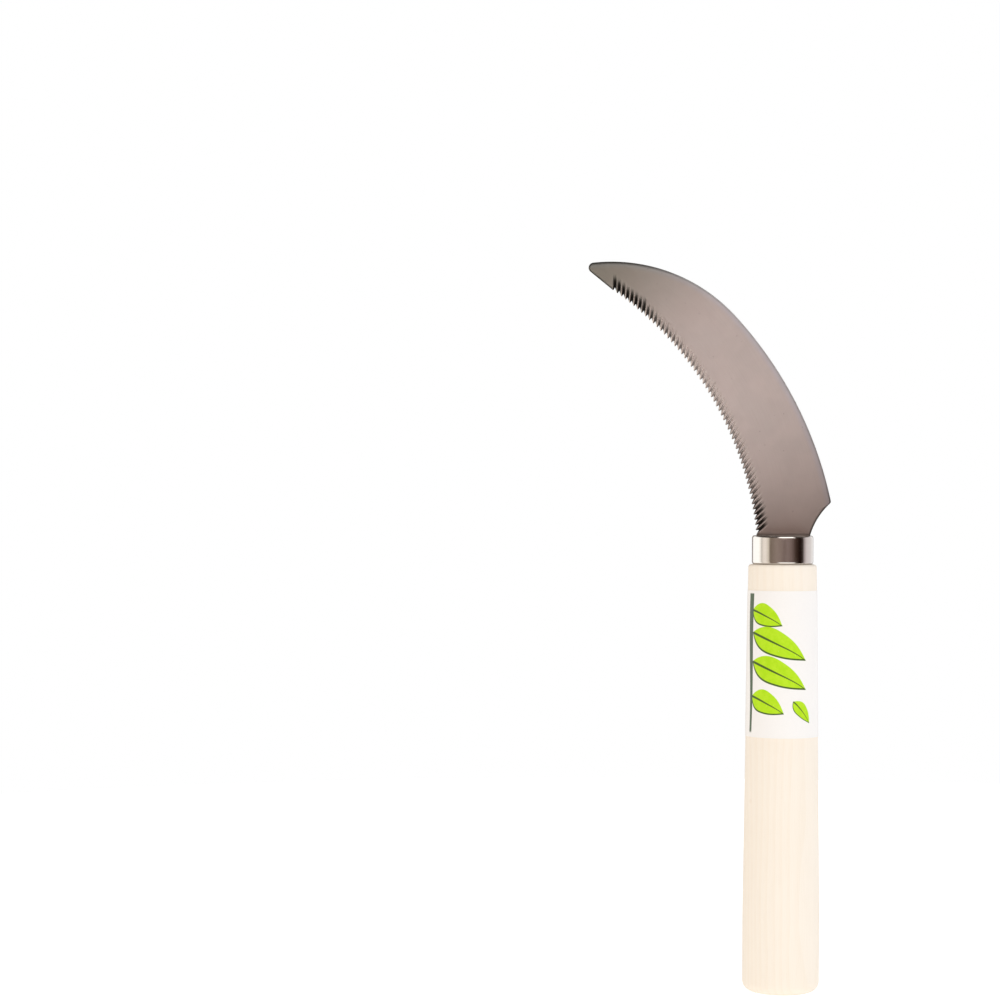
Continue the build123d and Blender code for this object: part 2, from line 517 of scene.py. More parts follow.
    def effect(self, group: bpy.types.NodeTree, **inputs: object) -> bpy.types.Node:
        """Places a shared effect.

        Args:
            group: the effect's node group.
            inputs: values or sockets by input name, with underscores for spaces.

        Returns:
            The group's node.
        """
        node = self.tree.nodes.new("ShaderNodeGroup")
        node.node_tree = group
        for key, value in inputs.items():
            self.feed(node.inputs[key.replace("_", " ")], value)
        return node


class Socket(Enum):
    """Kinds of socket that a shared effect can have."""

    NUMBER = "NodeSocketFloat"
    VECTOR = "NodeSocketVector"
    COLOUR = "NodeSocketColor"


def new_effect(name: str, takes: dict[str, Socket], gives: dict[str, Socket]) -> tuple[
        bpy.types.NodeTree, Wiring, dict[str, bpy.types.NodeSocket], bpy.types.Node]:
    """Starts a shader node group with named sockets.

    Args:
        name: the group's name.
        takes: its inputs.
        gives: its outputs.

    Returns:
        The group, its wiring, its inputs by name and its output node.
    """
    group = bpy.data.node_groups.new(name, "ShaderNodeTree")
    for label, kind in takes.items():
        group.interface.new_socket(label, in_out="INPUT", socket_type=kind.value)
    for label, kind in gives.items():
        group.interface.new_socket(label, in_out="OUTPUT", socket_type=kind.value)
    source = group.nodes.new("NodeGroupInput")
    target = group.nodes.new("NodeGroupOutput")
    return group, Wiring(group), {label: source.outputs[label] for label in takes}, target


class Effects:
    """The shader node groups that several finishes share, each built once."""

    finer: Colour = (1.7, 3.1, 3.1)
    leaf_blunt: float = 2.6
    leaf_lean: float = 0.42
    leaf_bow: float = 0.18
    leaf_shade: float = 0.16
    rib_half_width: Span = (0.1, 0.03)

    def __init__(self) -> None:
        """Builds all the groups."""
        self.fine_lines = self._fine_lines()
        self.patches = self._patches()
        self.specks = self._specks()
        self.leaf = self._leaf()

    def _fine_lines(self) -> bpy.types.NodeTree:
        """Hair lines along the first axis of Place, such as grinding marks or wood pores.

        Noise is read where the first axis is squeezed by Run and the second and third stretched by
        Pitch, so its cells are long and thin.  Two layers of it are multiplied for uneven lines.

        Returns:
            The group.
        """
        group, wire, taken, target = new_effect(
            "fine_lines",
            {"Place": Socket.VECTOR, "Run": Socket.NUMBER, "Pitch": Socket.NUMBER},
            {"Lines": Socket.NUMBER})
        stretch = wire.together(taken["Run"], taken["Pitch"], taken["Pitch"])
        place = wire.vector("MULTIPLY", taken["Place"], stretch)
        coarse = wire.noise(place, 1.0, 4.0, 0.62)
        fine = wire.noise(wire.vector("MULTIPLY", place, self.finer), 1.0, 2.0, 0.7)
        both = wire.times(wire.ramp(coarse, 0.36, 0.66), wire.ramp(fine, 0.28, 0.7))
        wire.feed(target.inputs["Lines"], both)
        return group

    @staticmethod
    def _scaled(wire: Wiring, taken: dict[str, bpy.types.NodeSocket]) -> bpy.types.NodeSocket:
        """A group's Place times its Scale."""
        return wire.add("VectorMath", {0: taken["Place"], "Scale": taken["Scale"]},
                        operation="SCALE").outputs[0]

    def _patches(self) -> bpy.types.NodeTree:
        """Broad soft patches, such as oil, handling or uneven colour: noise stepped from 0 to 1.

        Returns:
            The group.
        """
        group, wire, taken, target = new_effect(
            "patches", {"Place": Socket.VECTOR, "Scale": Socket.NUMBER}, {"Mask": Socket.NUMBER})
        cloud = wire.noise(self._scaled(wire, taken), 1.0, 3.0, 0.55)
        wire.feed(target.inputs["Mask"], wire.ramp(cloud, 0.3, 0.7))
        return group

    def _specks(self) -> bpy.types.NodeTree:
        """Small scattered specks of dust or pitting: 1 near some cell centres, else 0.

        Returns:
            The group.
        """
        group, wire, taken, target = new_effect(
            "specks",
            {"Place": Socket.VECTOR, "Scale": Socket.NUMBER, "Share": Socket.NUMBER},
            {"Mask": Socket.NUMBER})
        cells = wire.add("TexVoronoi", {"Vector": self._scaled(wire, taken), "Scale": 1.0})
        near = wire.ramp(cells.outputs["Distance"], 0.08, 0.2, 1.0, 0.0)
        pick = wire.add("SeparateColor", {0: cells.outputs["Color"]}).outputs[0]
        wire.feed(target.inputs["Mask"], wire.times(near, wire.math("LESS_THAN", pick, taken["Share"])))
        return group

    def _leaf(self) -> bpy.types.NodeTree:
        """One printed leaf on a flat (u, v) sheet.

        With a along the leaf from -1 to 1 and b across it, the blade of the leaf is where b is
        less than half its width times (1 - a to the power of leaf_blunt), pulled towards the stem
        end.  The rib is a thin line at b near 0, and the shade is a thin line inside the lower side.

        Returns:
            The group.
        """
        group, wire, taken, target = new_effect(
            "leaf",
            {"U": Socket.NUMBER, "V": Socket.NUMBER, "Centre U": Socket.NUMBER,
             "Centre V": Socket.NUMBER, "Turn": Socket.NUMBER, "Half Length": Socket.NUMBER,
             "Half Width": Socket.NUMBER, "Soft": Socket.NUMBER},
            {"Leaf": Socket.NUMBER, "Line": Socket.NUMBER})

        def softened(gap: bpy.types.NodeSocket, *steps: float) -> bpy.types.NodeSocket:
            """Step over a gap counted in print softnesses."""
            return wire.ramp(wire.math("DIVIDE", gap, taken["Soft"]), *steps)

        half_width = taken["Half Width"]
        du = wire.math("SUBTRACT", taken["U"], taken["Centre U"])
        dv = wire.math("SUBTRACT", taken["V"], taken["Centre V"])
        cosine = wire.math("COSINE", taken["Turn"])
        sine = wire.math("SINE", taken["Turn"])
        along = wire.math("ADD", wire.times(du, cosine), wire.times(dv, sine))
        across = wire.math("SUBTRACT", wire.times(dv, cosine), wire.times(du, sine))
        a = wire.math("DIVIDE", along, taken["Half Length"])
        bulge = wire.math("POWER", wire.math("ABSOLUTE", a), self.leaf_blunt)
        fall = wire.math("MAXIMUM", wire.math("SUBTRACT", 1.0, bulge), 0.0)
        lean = wire.math("SUBTRACT", 1.0, wire.times(a, self.leaf_lean))
        half = wire.times(wire.times(half_width, fall), lean)
        bow = wire.times(wire.times(fall, half_width), self.leaf_bow)
        b = wire.math("SUBTRACT", across, bow)
        inside = wire.math("SUBTRACT", half, wire.math("ABSOLUTE", b))
        leaf = softened(inside, 0.0, 2.0)
        rib_width = wire.times(half_width, wire.ramp(a, -1.1, 1.0, *self.rib_half_width))
        rib = softened(wire.math("SUBTRACT", wire.math("ABSOLUTE", b), rib_width), -1.0, 1.0, 1.0, 0.0)
        low_gap = wire.math("SUBTRACT", wire.math("ADD", b, half), wire.times(half_width, self.leaf_shade))
        low = softened(low_gap, -1.0, 1.0, 1.0, 0.0)
        line = wire.times(wire.math("MAXIMUM", rib, low), leaf)
        wire.feed(target.inputs["Leaf"], leaf)
        wire.feed(target.inputs["Line"], line)
        return group


def new_finish(name: str) -> tuple[bpy.types.Material, Wiring, bpy.types.Node]:
    """Starts a material.

    Args:
        name: the material's name.

    Returns:
        The material, its wiring and its Principled BSDF.
    """
    material = bpy.data.materials.new(name)
    material.use_nodes = True
    nodes = material.node_tree.nodes
    return material, Wiring(material.node_tree), nodes["Principled BSDF"]


def millimetres(wire: Wiring) -> bpy.types.NodeSocket:
    """Object coordinates in millimetres."""
    place = wire.add("TexCoord").outputs["Object"]
    return wire.add("Mapping", {"Vector": place, "Scale": (1 / MM, 1 / MM, 1 / MM)}).outputs[0]


# ------------------------------------------------------------------------------- finishes


@dataclass(frozen=True)
class Texture:
    """Sizes of a finish's hair lines, soft patches and specks.

    run and pitch are the lines' cells to a millimetre along and across them, the scales are the
    patches' and specks' cells to a millimetre, and the share is of cells that hold a speck.
    """

    run: float
    pitch: float
    patch_scale: float
    speck_scale: float
    speck_share: float

    def lay_on(self, wire: Wiring, effects: Effects, along: bpy.types.NodeSocket,
               place: bpy.types.NodeSocket) -> tuple[bpy.types.NodeSocket, ...]:
        """Places the three shared effects in a material.

        Args:
            wire: the material's wiring.
            effects: the shared shader groups.
            along: place whose first axis follows the lines, in millimetres.
            place: place of the patches and specks, in millimetres.

        Returns:
            The masks of the lines, the patches and the specks.
        """
        lines = wire.effect(effects.fine_lines, Place=along, Run=self.run, Pitch=self.pitch)
        patches = wire.effect(effects.patches, Place=place, Scale=self.patch_scale)
        specks = wire.effect(effects.specks, Place=place, Scale=self.speck_scale, Share=self.speck_share)
        return lines.outputs["Lines"], patches.outputs["Mask"], specks.outputs["Mask"]


@dataclass(frozen=True)
class BladeSteel:
    """Satin sheet steel: grinding lines along the blade, grooves blackened by painted shade with painted
    highlights on their ground flanks, painted shade towards the ferrule and the point, and a duller rolled
    back.
    """

    middle: Colour = (0.877, 0.824, 0.810)
    # root and point are painted shade: the steel darkens from the middle towards the ferrule, and darkens
    # and turns greener towards the point.
    root: Colour = (0.41, 0.348, 0.326)
    point: Colour = (0.413, 0.417, 0.367)
    # Bluer tint over a band along the back.
    back_band_tint: Colour = (0.94, 1.0, 1.09)
    black: Colour = (0.030, 0.026, 0.022)
    # Colour of the ground groove flanks, brightened as a painted highlight.
    bright: Colour = (0.92, 0.88, 0.85)
    texture: Texture = Texture(0.05, 3.2, 0.055, 0.55, 0.12)
    root_reach: float = 0.45
    point_fade: Span = (0.58, 0.98)
    patch_shade: Span = (0.94, 1.04)
    line_tint: float = 0.14
    speck_tint: float = 0.2
    # Painted shadow on the blade just above the ferrule's rim: where it starts, how high it reaches and how
    # dark it gets.
    contact_shadow_start: float = 0.2
    contact_shadow_height: float = 1.5
    contact_shadow_black: float = 0.62
    roughness: float = 0.34
    line_rough: float = 0.08
    painted_shade_and_dulling_rough: float = 0.2
    patch_rough: float = -0.04
    bright_flank_smooth: float = 0.1
    speck_relief: float = 1.5
    line_depth: float = 0.012 * MM
    bump: float = 0.6

    def make(self, effects: Effects, rim_height: float) -> bpy.types.Material:
        """Builds the material from the blade's own attributes.

        lay holds millimetres along the blade, millimetres from the edge and the side; the next three
        marks say where the groove flanks are ground bright under a painted highlight, where painted
        shade blackens the grooves and outlines and the back bevel is dulled, and where the sheet's rolled
        back begins; tone runs from 0 at the ferrule to 1 at the point, and painted shade darkens the
        colour towards both.  A painted shadow darkens the blade just above the ferrule's rim.

        Args:
            effects: the shared shader groups.
            rim_height: height of the ferrule's rim in millimetres.

        Returns:
            The material.
        """
        material, wire, shader = new_finish("blade_steel")
        lay = wire.add("Attribute", attribute_name="lay").outputs["Vector"]
        mark = {name: wire.add("Attribute", attribute_name=name).outputs["Fac"]
                for name in ("painted_light_and_wear", "painted_shade_and_dulling", "band", "tone")}
        place = millimetres(wire)
        lines, patches, specks = self.texture.lay_on(wire, effects, lay, place)

        # Painted shade: lighter in the middle, darker towards the ferrule and, greener, towards the point.
        from_root = wire.math("DIVIDE", mark["tone"], self.root_reach)
        share = wire.math("SUBTRACT", 1.0, from_root, clamp=True)
        colour = wire.blend(wire.times(share, share), self.middle, self.root)
        colour = wire.blend(wire.ramp(mark["tone"], *self.point_fade), colour, self.point)
        # Bluer tint over the band along the back.
        colour = wire.blend(mark["band"], colour, self.back_band_tint, "MULTIPLY")
        shade = wire.grey(wire.ramp(patches, 0.0, 1.0, *self.patch_shade))
        colour = wire.blend(1.0, colour, shade, "MULTIPLY")
        colour = wire.tint(lines, self.line_tint, colour, self.root)
        colour = wire.tint(specks, self.speck_tint, colour, self.black)
        # Ground groove flanks, brightened by a painted highlight.
        colour = wire.blend(mark["painted_light_and_wear"], colour, self.bright)
        # Painted shadow just above the ferrule's rim.
        contact_shadow = wire.ramp(wire.numbers(place)[2], rim_height + self.contact_shadow_start,
                            rim_height + self.contact_shadow_height, self.contact_shadow_black, 0.0)
        # Joins it with the painted shade of grooves and outlines, the tip's black edge and the dull bevel.
        painted_shade_and_dulling = wire.math("MAXIMUM", mark["painted_shade_and_dulling"], contact_shadow)
        colour = wire.blend(painted_shade_and_dulling, colour, self.black)

        rough = wire.raised(self.roughness, lines, self.line_rough)
        rough = wire.raised(rough, painted_shade_and_dulling, self.painted_shade_and_dulling_rough)
        rough = wire.raised(rough, patches, self.patch_rough)
        rough = wire.math("SUBTRACT", rough, wire.times(mark["painted_light_and_wear"], self.bright_flank_smooth), clamp=True)
        relief = wire.math("SUBTRACT", wire.times(lines, -1.0), wire.times(specks, self.speck_relief))
        wire.dress(shader, colour, rough, relief, self.line_depth, self.bump, {"Metallic": 1.0})
        return material


@dataclass(frozen=True)
class PlatedSteel:
    """Bright plated steel with faint rolling lines round it, scuffs and a little dust."""

    name: str
    base: Colour
    dull: Colour
    roughness: float
    line_depth: float
    texture: Texture = Texture(0.06, 6.0, 0.22, 0.9, 0.1)
    line_radius: float = 12.0
    line_tint: float = 0.18
    speck_tint: float = 0.35
    line_rough: float = 0.05
    patch_rough: float = 0.04
    speck_rough: float = 0.2
    bump: float = 0.4

    def make(self, effects: Effects) -> bpy.types.Material:
        """Builds the material on object coordinates, with its lines round the Z axis.

        The lines' place is (angle round the axis in millimetres at line_radius, height, 0).

        Args:
            effects: the shared shader groups.

        Returns:
            The material.
        """
        material, wire, shader = new_finish(self.name)
        place = millimetres(wire)
        x, y, z = wire.numbers(place)
        angle = wire.math("ARCTAN2", x, wire.times(y, -1.0))
        round_axis = wire.together(wire.times(angle, self.line_radius), z)
        lines, patches, specks = self.texture.lay_on(wire, effects, round_axis, place)
        colour = wire.tint(lines, self.line_tint, self.base, self.dull)
        colour = wire.tint(specks, self.speck_tint, colour, self.dull)
        rough = wire.raised(self.roughness, lines, self.line_rough)
        rough = wire.raised(rough, patches, self.patch_rough)
        rough = wire.raised(rough, specks, self.speck_rough)
        wire.dress(shader, colour, rough, wire.times(lines, -1.0), self.line_depth, self.bump,
                   {"Metallic": 1.0})
        return material


@dataclass(frozen=True)
class PaleWood:
    """Pale close-grained wood: growth rings cut by the lathe, fine pores and a thin clear coat."""

    early: Colour = (0.915, 0.820, 0.700)
    late: Colour = (0.875, 0.745, 0.590)
    pore: Colour = (0.74, 0.58, 0.42)
    texture: Texture = Texture(0.09, 2.4, 0.035, 0.16, 0.05)
    pith: Span = (-46.0, 31.0)
    ring_spacing: float = 2.6
    ring_bend: float = 5.0
    ring_climb: float = 0.012
    bend_scale: Colour = (0.03, 0.03, 0.006)
    late_start: float = 0.25
    late_end: float = 0.9
    ring_tint: float = 0.26
    pore_tint: float = 0.10
    patch_tint: float = 0.12
    speck_tint: float = 0.2
    roughness: float = 0.52
    pore_rough: float = 0.12
    patch_rough: float = 0.06
    ring_relief: float = 0.35
    pore_depth: float = 0.03 * MM
    bump: float = 0.5
    coat: float = 0.05
    coat_roughness: float = 0.3
    specular: float = 0.22

    def make(self, effects: Effects) -> bpy.types.Material:
        """Builds the material on object coordinates.

        A ring's phase is the distance from a pith that lies outside the handle, bent by slow
        noise, over the ring spacing.  Pores are hair lines along the handle's axis.

        Args:
            effects: the shared shader groups.

        Returns:
            The material.
        """
        material, wire, shader = new_finish("pale_wood")
        place = millimetres(wire)
        slow = wire.noise(wire.vector("MULTIPLY", place, self.bend_scale), 1.0, 2.0)
        x, y, z = wire.numbers(place)
        dx = wire.math("SUBTRACT", x, self.pith[0])
        dy = wire.math("SUBTRACT", y, self.pith[1])
        far = wire.math("SQRT", wire.math("ADD", wire.times(dx, dx), wire.times(dy, dy)))
        bent = wire.raised(wire.math("DIVIDE", far, self.ring_spacing), slow, self.ring_bend)
        phase = wire.math("FRACT", wire.raised(bent, z, self.ring_climb))
        late = wire.ramp(phase, self.late_start, self.late_end)
        ring = wire.times(late, wire.ramp(phase, self.late_end, 1.0, 1.0, 0.0))
        pores, patches, specks = self.texture.lay_on(wire, effects, wire.together(z, x, y), place)
        colour = wire.tint(ring, self.ring_tint, self.early, self.late)
        colour = wire.tint(pores, self.pore_tint, colour, self.pore)
        colour = wire.tint(patches, self.patch_tint, colour, self.late)
        colour = wire.tint(specks, self.speck_tint, colour, self.pore)
        rough = wire.raised(self.roughness, pores, self.pore_rough)
        rough = wire.raised(rough, patches, self.patch_rough)
        relief = wire.raised(wire.times(pores, -1.0), ring, self.ring_relief)
        wire.dress(shader, colour, rough, relief, self.pore_depth, self.bump,
                   {"Coat Weight": self.coat, "Coat Roughness": self.coat_roughness,
                    "Specular IOR Level": self.specular})
        return material


@dataclass(frozen=True)
class Leaf:
    """Place of one printed leaf on the label, in millimetres and degrees."""

    across: float
    up: float
    turn: float
    half_length: float
    half_width: float


@dataclass(frozen=True)
class PrintedPaper:
    """Coated white paper printed with a plain leaf sprig."""

    white: Colour = (0.900, 0.855, 0.805)
    fibre: Colour = (0.82, 0.79, 0.75)
    leaf_green: Colour = (0.430, 0.715, 0.004)
    pale_green: Colour = (0.555, 0.795, 0.026)
    dark_green: Colour = (0.030, 0.060, 0.022)
    stem_green: Colour = (0.085, 0.120, 0.070)
    texture: Texture = Texture(1.2, 1.6, 0.09, 1.1, 0.06)
    fibre_tint: float = 0.25
    patch_tint: float = 0.10
    ink_loss: float = 0.25
    mottle_scale: float = 0.55
    mottle_tint: float = 0.55
    line_tint: float = 0.92
    stem_across: float = -15.3
    stem_half_width: float = 1.25
    stem_swell: Span = (0.55, 1.2)
    stem_span: Span = (1.4, 55.2)
    stem_ends: Span = (1.0, 0.6)
    stem_wave: Span = (0.11, 0.35)
    soft: float = 0.09
    roughness: float = 0.42
    fibre_rough: float = 0.1
    fibre_depth: float = 0.008 * MM
    bump: float = 0.5
    specular: float = 0.2
    leaves: tuple[Leaf, ...] = (
        Leaf(-8.0, 45.6, -24.0, 7.4, 4.1),
        Leaf(-3.0, 34.7, -25.0, 12.6, 4.8),
        Leaf(-3.0, 23.6, -25.0, 12.6, 4.8),
        Leaf(-7.6, 12.4, -25.0, 7.8, 4.3),
        Leaf(6.4, 9.8, -50.0, 5.6, 2.5),
    )

    def make(self, effects: Effects) -> bpy.types.Material:
        """Builds the material on the label's own lay: millimetres across from the front, and up.

        The lay's third number is 1 on the printed side and 0 on the side that faces the wood.

        Args:
            effects: the shared shader groups.

        Returns:
            The material.
        """
        material, wire, shader = new_finish("printed_paper")
        lay = wire.add("Attribute", attribute_name="lay").outputs["Vector"]
        across, up, printed_side = wire.numbers(lay)
        fibre, patches, specks = self.texture.lay_on(wire, effects, lay, lay)
        colour = wire.tint(fibre, self.fibre_tint, self.white, self.fibre)
        colour = wire.tint(patches, self.patch_tint, colour, self.fibre)
        ink_left = wire.math("SUBTRACT", 1.0, wire.times(specks, self.ink_loss))
        mottle = wire.effect(effects.patches, Place=lay, Scale=self.mottle_scale).outputs["Mask"]
        green = wire.tint(mottle, self.mottle_tint, self.leaf_green, self.pale_green)
        for leaf in self.leaves:
            drawn = wire.effect(effects.leaf, U=across, V=up, Centre_U=leaf.across, Centre_V=leaf.up,
                                Turn=math.radians(leaf.turn), Half_Length=leaf.half_length,
                                Half_Width=leaf.half_width, Soft=self.soft)
            ink = wire.times(wire.times(drawn.outputs["Leaf"], ink_left), printed_side)
            line = wire.times(drawn.outputs["Line"], printed_side)
            colour = wire.blend(ink, colour, green)
            colour = wire.tint(line, self.line_tint, colour, self.dark_green)
        stem = wire.times(self._stem(wire, across, up), printed_side)
        colour = wire.blend(stem, colour, self.stem_green)
        rough = wire.raised(self.roughness, fibre, self.fibre_rough)
        wire.dress(shader, colour, rough, fibre, self.fibre_depth, self.bump,
                   {"Specular IOR Level": self.specular})
        return material

    def _stem(self, wire: Wiring, across: bpy.types.NodeSocket,
              up: bpy.types.NodeSocket) -> bpy.types.NodeSocket:
        """Mask of the stem: a slightly waving upright line, thinner towards its foot.

        Args:
            wire: the material's wiring.
            across: millimetres across from the front.
            up: millimetres up from the label's foot.

        Returns:
            The mask, 1 on the stem and 0 off it.
        """
        foot, top = self.stem_span
        foot_fade, top_fade = self.stem_ends
        turns, sway = self.stem_wave
        wave = wire.times(wire.math("SINE", wire.times(up, turns)), sway)
        from_line = wire.math("SUBTRACT", across, self.stem_across)
        off = wire.math("ABSOLUTE", wire.math("SUBTRACT", from_line, wave))
        half = wire.ramp(up, foot, top, *(self.stem_half_width * swell for swell in self.stem_swell))
        side = wire.ramp(wire.math("DIVIDE", wire.math("SUBTRACT", half, off), self.soft), -1.0, 1.0)
        low = wire.ramp(up, foot - self.soft, foot + foot_fade)
        high = wire.ramp(up, top - top_fade, top, 1.0, 0.0)
        return wire.times(wire.times(side, low), high)


# ------------------------------------------------------------------------------- blade


@dataclass
class BladeOutline:
    """The blade's outline in its own plane, from arcs and straight runs that touch.

    The names follow the tool: the toothed edge, the plain edge at the tip, the blunt nose, the
    crown and spine along the back, the heel, and the hollow between heel and ferrule.
    """

    ledge: float
    rim: float
    neck_half_width: float = 10.5 * MM
    heel_rise: float = 12.8 * MM
    heel_reach: float = 18.55 * MM
    heel_rounding: float = 1.0 * MM
    hollow_lean: float = 16.0
    spine_radius: float = 152.0 * MM
    spine_lean: float = 12.05
    spine_sweep: float = 30.75
    edge_radius: float = 133.0 * MM
    edge_lean: float = 6.45
    edge_setback: float = 0.2 * MM
    edge_inset: float = 0.35 * MM
    edge_run: float = 112.56 * MM
    tip_length: float = 15.6 * MM
    tip_slope: float = 39.0
    nose_rounding: float = 2.0 * MM
    tang_depth: float = 52.0 * MM
    tang_root: float = 7.5 * MM
    tang_end: float = 4.0 * MM
    tang_rounding: float = 2.0 * MM

    def __post_init__(self) -> None:
        """Works out the centres and the points where the stretches meet."""
        self.edge_start = np.array([self.edge_inset - self.neck_half_width, self.rim + self.edge_setback])
        self.edge_centre = self.edge_start - self.edge_radius * unit(self.edge_lean)
        self.edge_finish_angle = self.edge_lean + math.degrees(self.edge_run / self.edge_radius)
        self.edge_end = self.edge_centre + self.edge_radius * unit(self.edge_finish_angle)
        self.tip_along = unit(180.0 - self.tip_slope)
        self.tip_inward = unit(90.0 - self.tip_slope)
        self.tip_corner = self.edge_end + self.tip_length * self.tip_along
        self.heel_corner = np.array([self.heel_reach, self.rim + self.heel_rise])
        self.spine_centre = self.heel_corner - self.spine_radius * unit(self.spine_lean)
        self.join_angle = self.spine_lean + self.spine_sweep
        self.join = self.spine_centre + self.spine_radius * unit(self.join_angle)
        chord = self.tip_corner - self.join
        self.crown_radius = chord @ chord / (2 * chord @ -unit(self.join_angle))
        self.crown_centre = self.join - self.crown_radius * unit(self.join_angle)
        self.hollow_start = np.array([self.neck_half_width, self.rim])
        rise = self.heel_corner - self.hollow_start
        outwards = unit(-self.hollow_lean)
        self.hollow_radius = (rise @ rise) / (2 * rise @ outwards)
        self.hollow_centre = self.hollow_start + self.hollow_radius * outwards
        self.heel_centre = meet(self.hollow_centre, self.hollow_radius + self.heel_rounding,
                                self.spine_centre, self.spine_radius - self.heel_rounding,
                                self.heel_corner)
        self._place_nose()

    def _place_nose(self) -> None:
        """Finds the centre of the nose: as far inside the plain edge as inside the crown.

        On the line a nose rounding inside the plain edge, the distance t along it solves
        |start + t along - crown centre| = crown radius - rounding, and the larger t is taken.
        """
        start = self.edge_end + self.nose_rounding * self.tip_inward - self.crown_centre
        half_b = start @ self.tip_along
        rest = start @ start - (self.crown_radius - self.nose_rounding) ** 2
        reach = -half_b + math.sqrt(half_b**2 - rest)
        self.nose_centre = self.crown_centre + start + reach * self.tip_along
        self.nose_low = self.nose_centre - self.nose_rounding * self.tip_inward
        outward = self.nose_centre - self.crown_centre
        self.nose_high = self.nose_centre + self.nose_rounding * outward / np.hypot(*outward)

    def back_hit(self, origin: np.ndarray, direction: np.ndarray) -> np.ndarray:
        """Where rays from inside the blade meet its back: on the spine, or past the join on the crown.

        A ray leaves a circle at t = -b + sqrt(b squared - c), with b the origin's offset from the
        centre along the ray and c that offset's square less the radius squared.

        Args:
            origin: starting points, one to a row.
            direction: unit directions, one to a row.

        Returns:
            The points on the back.
        """
        hits = []
        circles = ((self.spine_centre, self.spine_radius), (self.crown_centre, self.crown_radius))
        for centre, radius in circles:
            offset = origin - centre
            b = (offset * direction).sum(axis=1)
            c = (offset**2).sum(axis=1) - radius**2
            run = -b + np.sqrt(np.maximum(b**2 - c, 0.0))
            hits.append(origin + run[:, None] * direction)
        spine, crown = hits
        turn = np.degrees(np.arctan2(*(spine - self.spine_centre)[:, ::-1].T))
        return np.where((turn <= self.join_angle)[:, None], spine, crown)

    def back_inset(self, flat: np.ndarray) -> np.ndarray:
        """How far points lie inside the spine or, past the join, the crown: radius less distance.

        Args:
            flat: points of the blade's plane.

        Returns:
            One distance for each point.
        """
        from_spine = flat - self.spine_centre
        from_crown = flat - self.crown_centre
        turn = np.degrees(np.arctan2(from_spine[..., 1], from_spine[..., 0]))
        inset = [radius - np.hypot(offset[..., 0], offset[..., 1]) for offset, radius in
                 ((from_spine, self.spine_radius), (from_crown, self.crown_radius))]
        return np.where(turn <= self.join_angle, *inset)

    def lower_back(self, end: np.ndarray) -> np.ndarray:
        """Right side from the ledge up the neck, round the hollow and the heel and up the spine.

        Args:
            end: point on the spine where it stops.

        Returns:
            The points in order.
        """
        neck = np.array([[self.neck_half_width, self.ledge], [self.neck_half_width, self.rim]])
        to_hollow = angle_of(self.heel_centre - self.hollow_centre)
        hollow = arc(self.hollow_centre, self.hollow_radius, 180.0 - self.hollow_lean, to_hollow, 60)
        heel_out = angle_of(self.heel_centre - self.spine_centre)
        heel = arc(self.heel_centre, self.heel_rounding, to_hollow - 180.0, heel_out, 24)
        spine_end = angle_of(end - self.spine_centre)
        spine = arc(self.spine_centre, self.spine_radius, heel_out, spine_end, 40)
        return np.concatenate([neck, hollow, heel, spine])

    def upper_back(self, start: np.ndarray) -> np.ndarray:
        """From a point on the crown along it to the foremost point of the nose.

        Args:
            start: the point on the crown.

        Returns:
            The points in order.
        """
        crown_start = angle_of(start - self.crown_centre)
        crown_end = angle_of(self.nose_high - self.crown_centre)
        crown = arc(self.crown_centre, self.crown_radius, crown_start, crown_end, 80)
        nose = arc(self.nose_centre, self.nose_rounding, crown_end, self.nose_middle(), 24)
        return np.concatenate([crown, nose])

    def lower_tip(self) -> np.ndarray:
        """From the last tooth along the plain edge to the foremost point of the nose.

        Returns:
            The points in order.
        """
        low = 360.0 + angle_of(self.nose_low - self.nose_centre)
        nose = arc(self.nose_centre, self.nose_rounding, low, self.nose_middle(), 24)
        return np.concatenate([self.edge_end[None], nose])

    def nose_middle(self) -> float:
        """Angle of the foremost point of the nose, halfway between its two ends."""
        low = 360.0 + angle_of(self.nose_low - self.nose_centre)
        return (low + angle_of(self.nose_high - self.nose_centre)) / 2

    def tang_side(self) -> np.ndarray:
        """Left side of the tang from its end face, round the corner and up to the ledge.

        Returns:
            The points in order.
        """
        foot = self.ledge - self.tang_depth
        side = np.array([self.tang_end - self.tang_root, self.tang_depth])
        side /= np.hypot(*side)
        normal = np.array([side[1], -side[0]])
        centre_z = foot + self.tang_rounding
        centre_x = -self.tang_end + (self.tang_rounding * (1 - normal[1])) / normal[0]
        centre = np.array([centre_x, centre_z])
        corner = arc(centre, self.tang_rounding, 270.0, 180.0 + angle_of(normal), 10)
        root = np.array([[-self.tang_root, self.ledge]])
        return np.concatenate([corner, root])


@dataclass
class Columns:
    """Straight lines across the blade, from its edge side to its back, one to a row.

    groove holds, for each column, how far it is from the middle of its groove as a share of half
    the pitch: negative towards the ferrule, and past 1 where there is no groove.  length and depth
    are that groove's own, its shade value is how black painted shade makes the groove, and rim is how
    black painted shade makes the far end's outline.
    """

    near: np.ndarray
    far: np.ndarray
    groove: np.ndarray
    length: np.ndarray
    depth: np.ndarray
    plain: np.ndarray
    groove_shade: np.ndarray
    rim: np.ndarray

    @staticmethod
    def without_teeth(near: np.ndarray, far: np.ndarray, rim: tuple[float, ...]) -> "Columns":
        """Columns of a stretch with a plain near side.

        Args:
            near: points on the edge side.
            far: points on the back.
            rim: blackness that painted shade gives the far outline, spread evenly over the stretch.

        Returns:
            The columns.
        """
        count = len(near)
        dark = np.interp(np.linspace(0.0, 1.0, count), np.linspace(0.0, 1.0, len(rim)), rim)
        none = np.zeros(count)
        return Columns(near, far, none + 2.0, none + MM, none, none + 1.0, none, dark)

    @staticmethod
    def joined(parts: list["Columns"]) -> "Columns":
        """All the columns of several stretches, in order."""
        names = [item.name for item in fields(Columns)]
        return Columns(*(np.concatenate([getattr(part, name) for part in parts]) for name in names))

    def width(self) -> np.ndarray:
        """Length of each column."""
        return np.hypot(*(self.far - self.near).T)


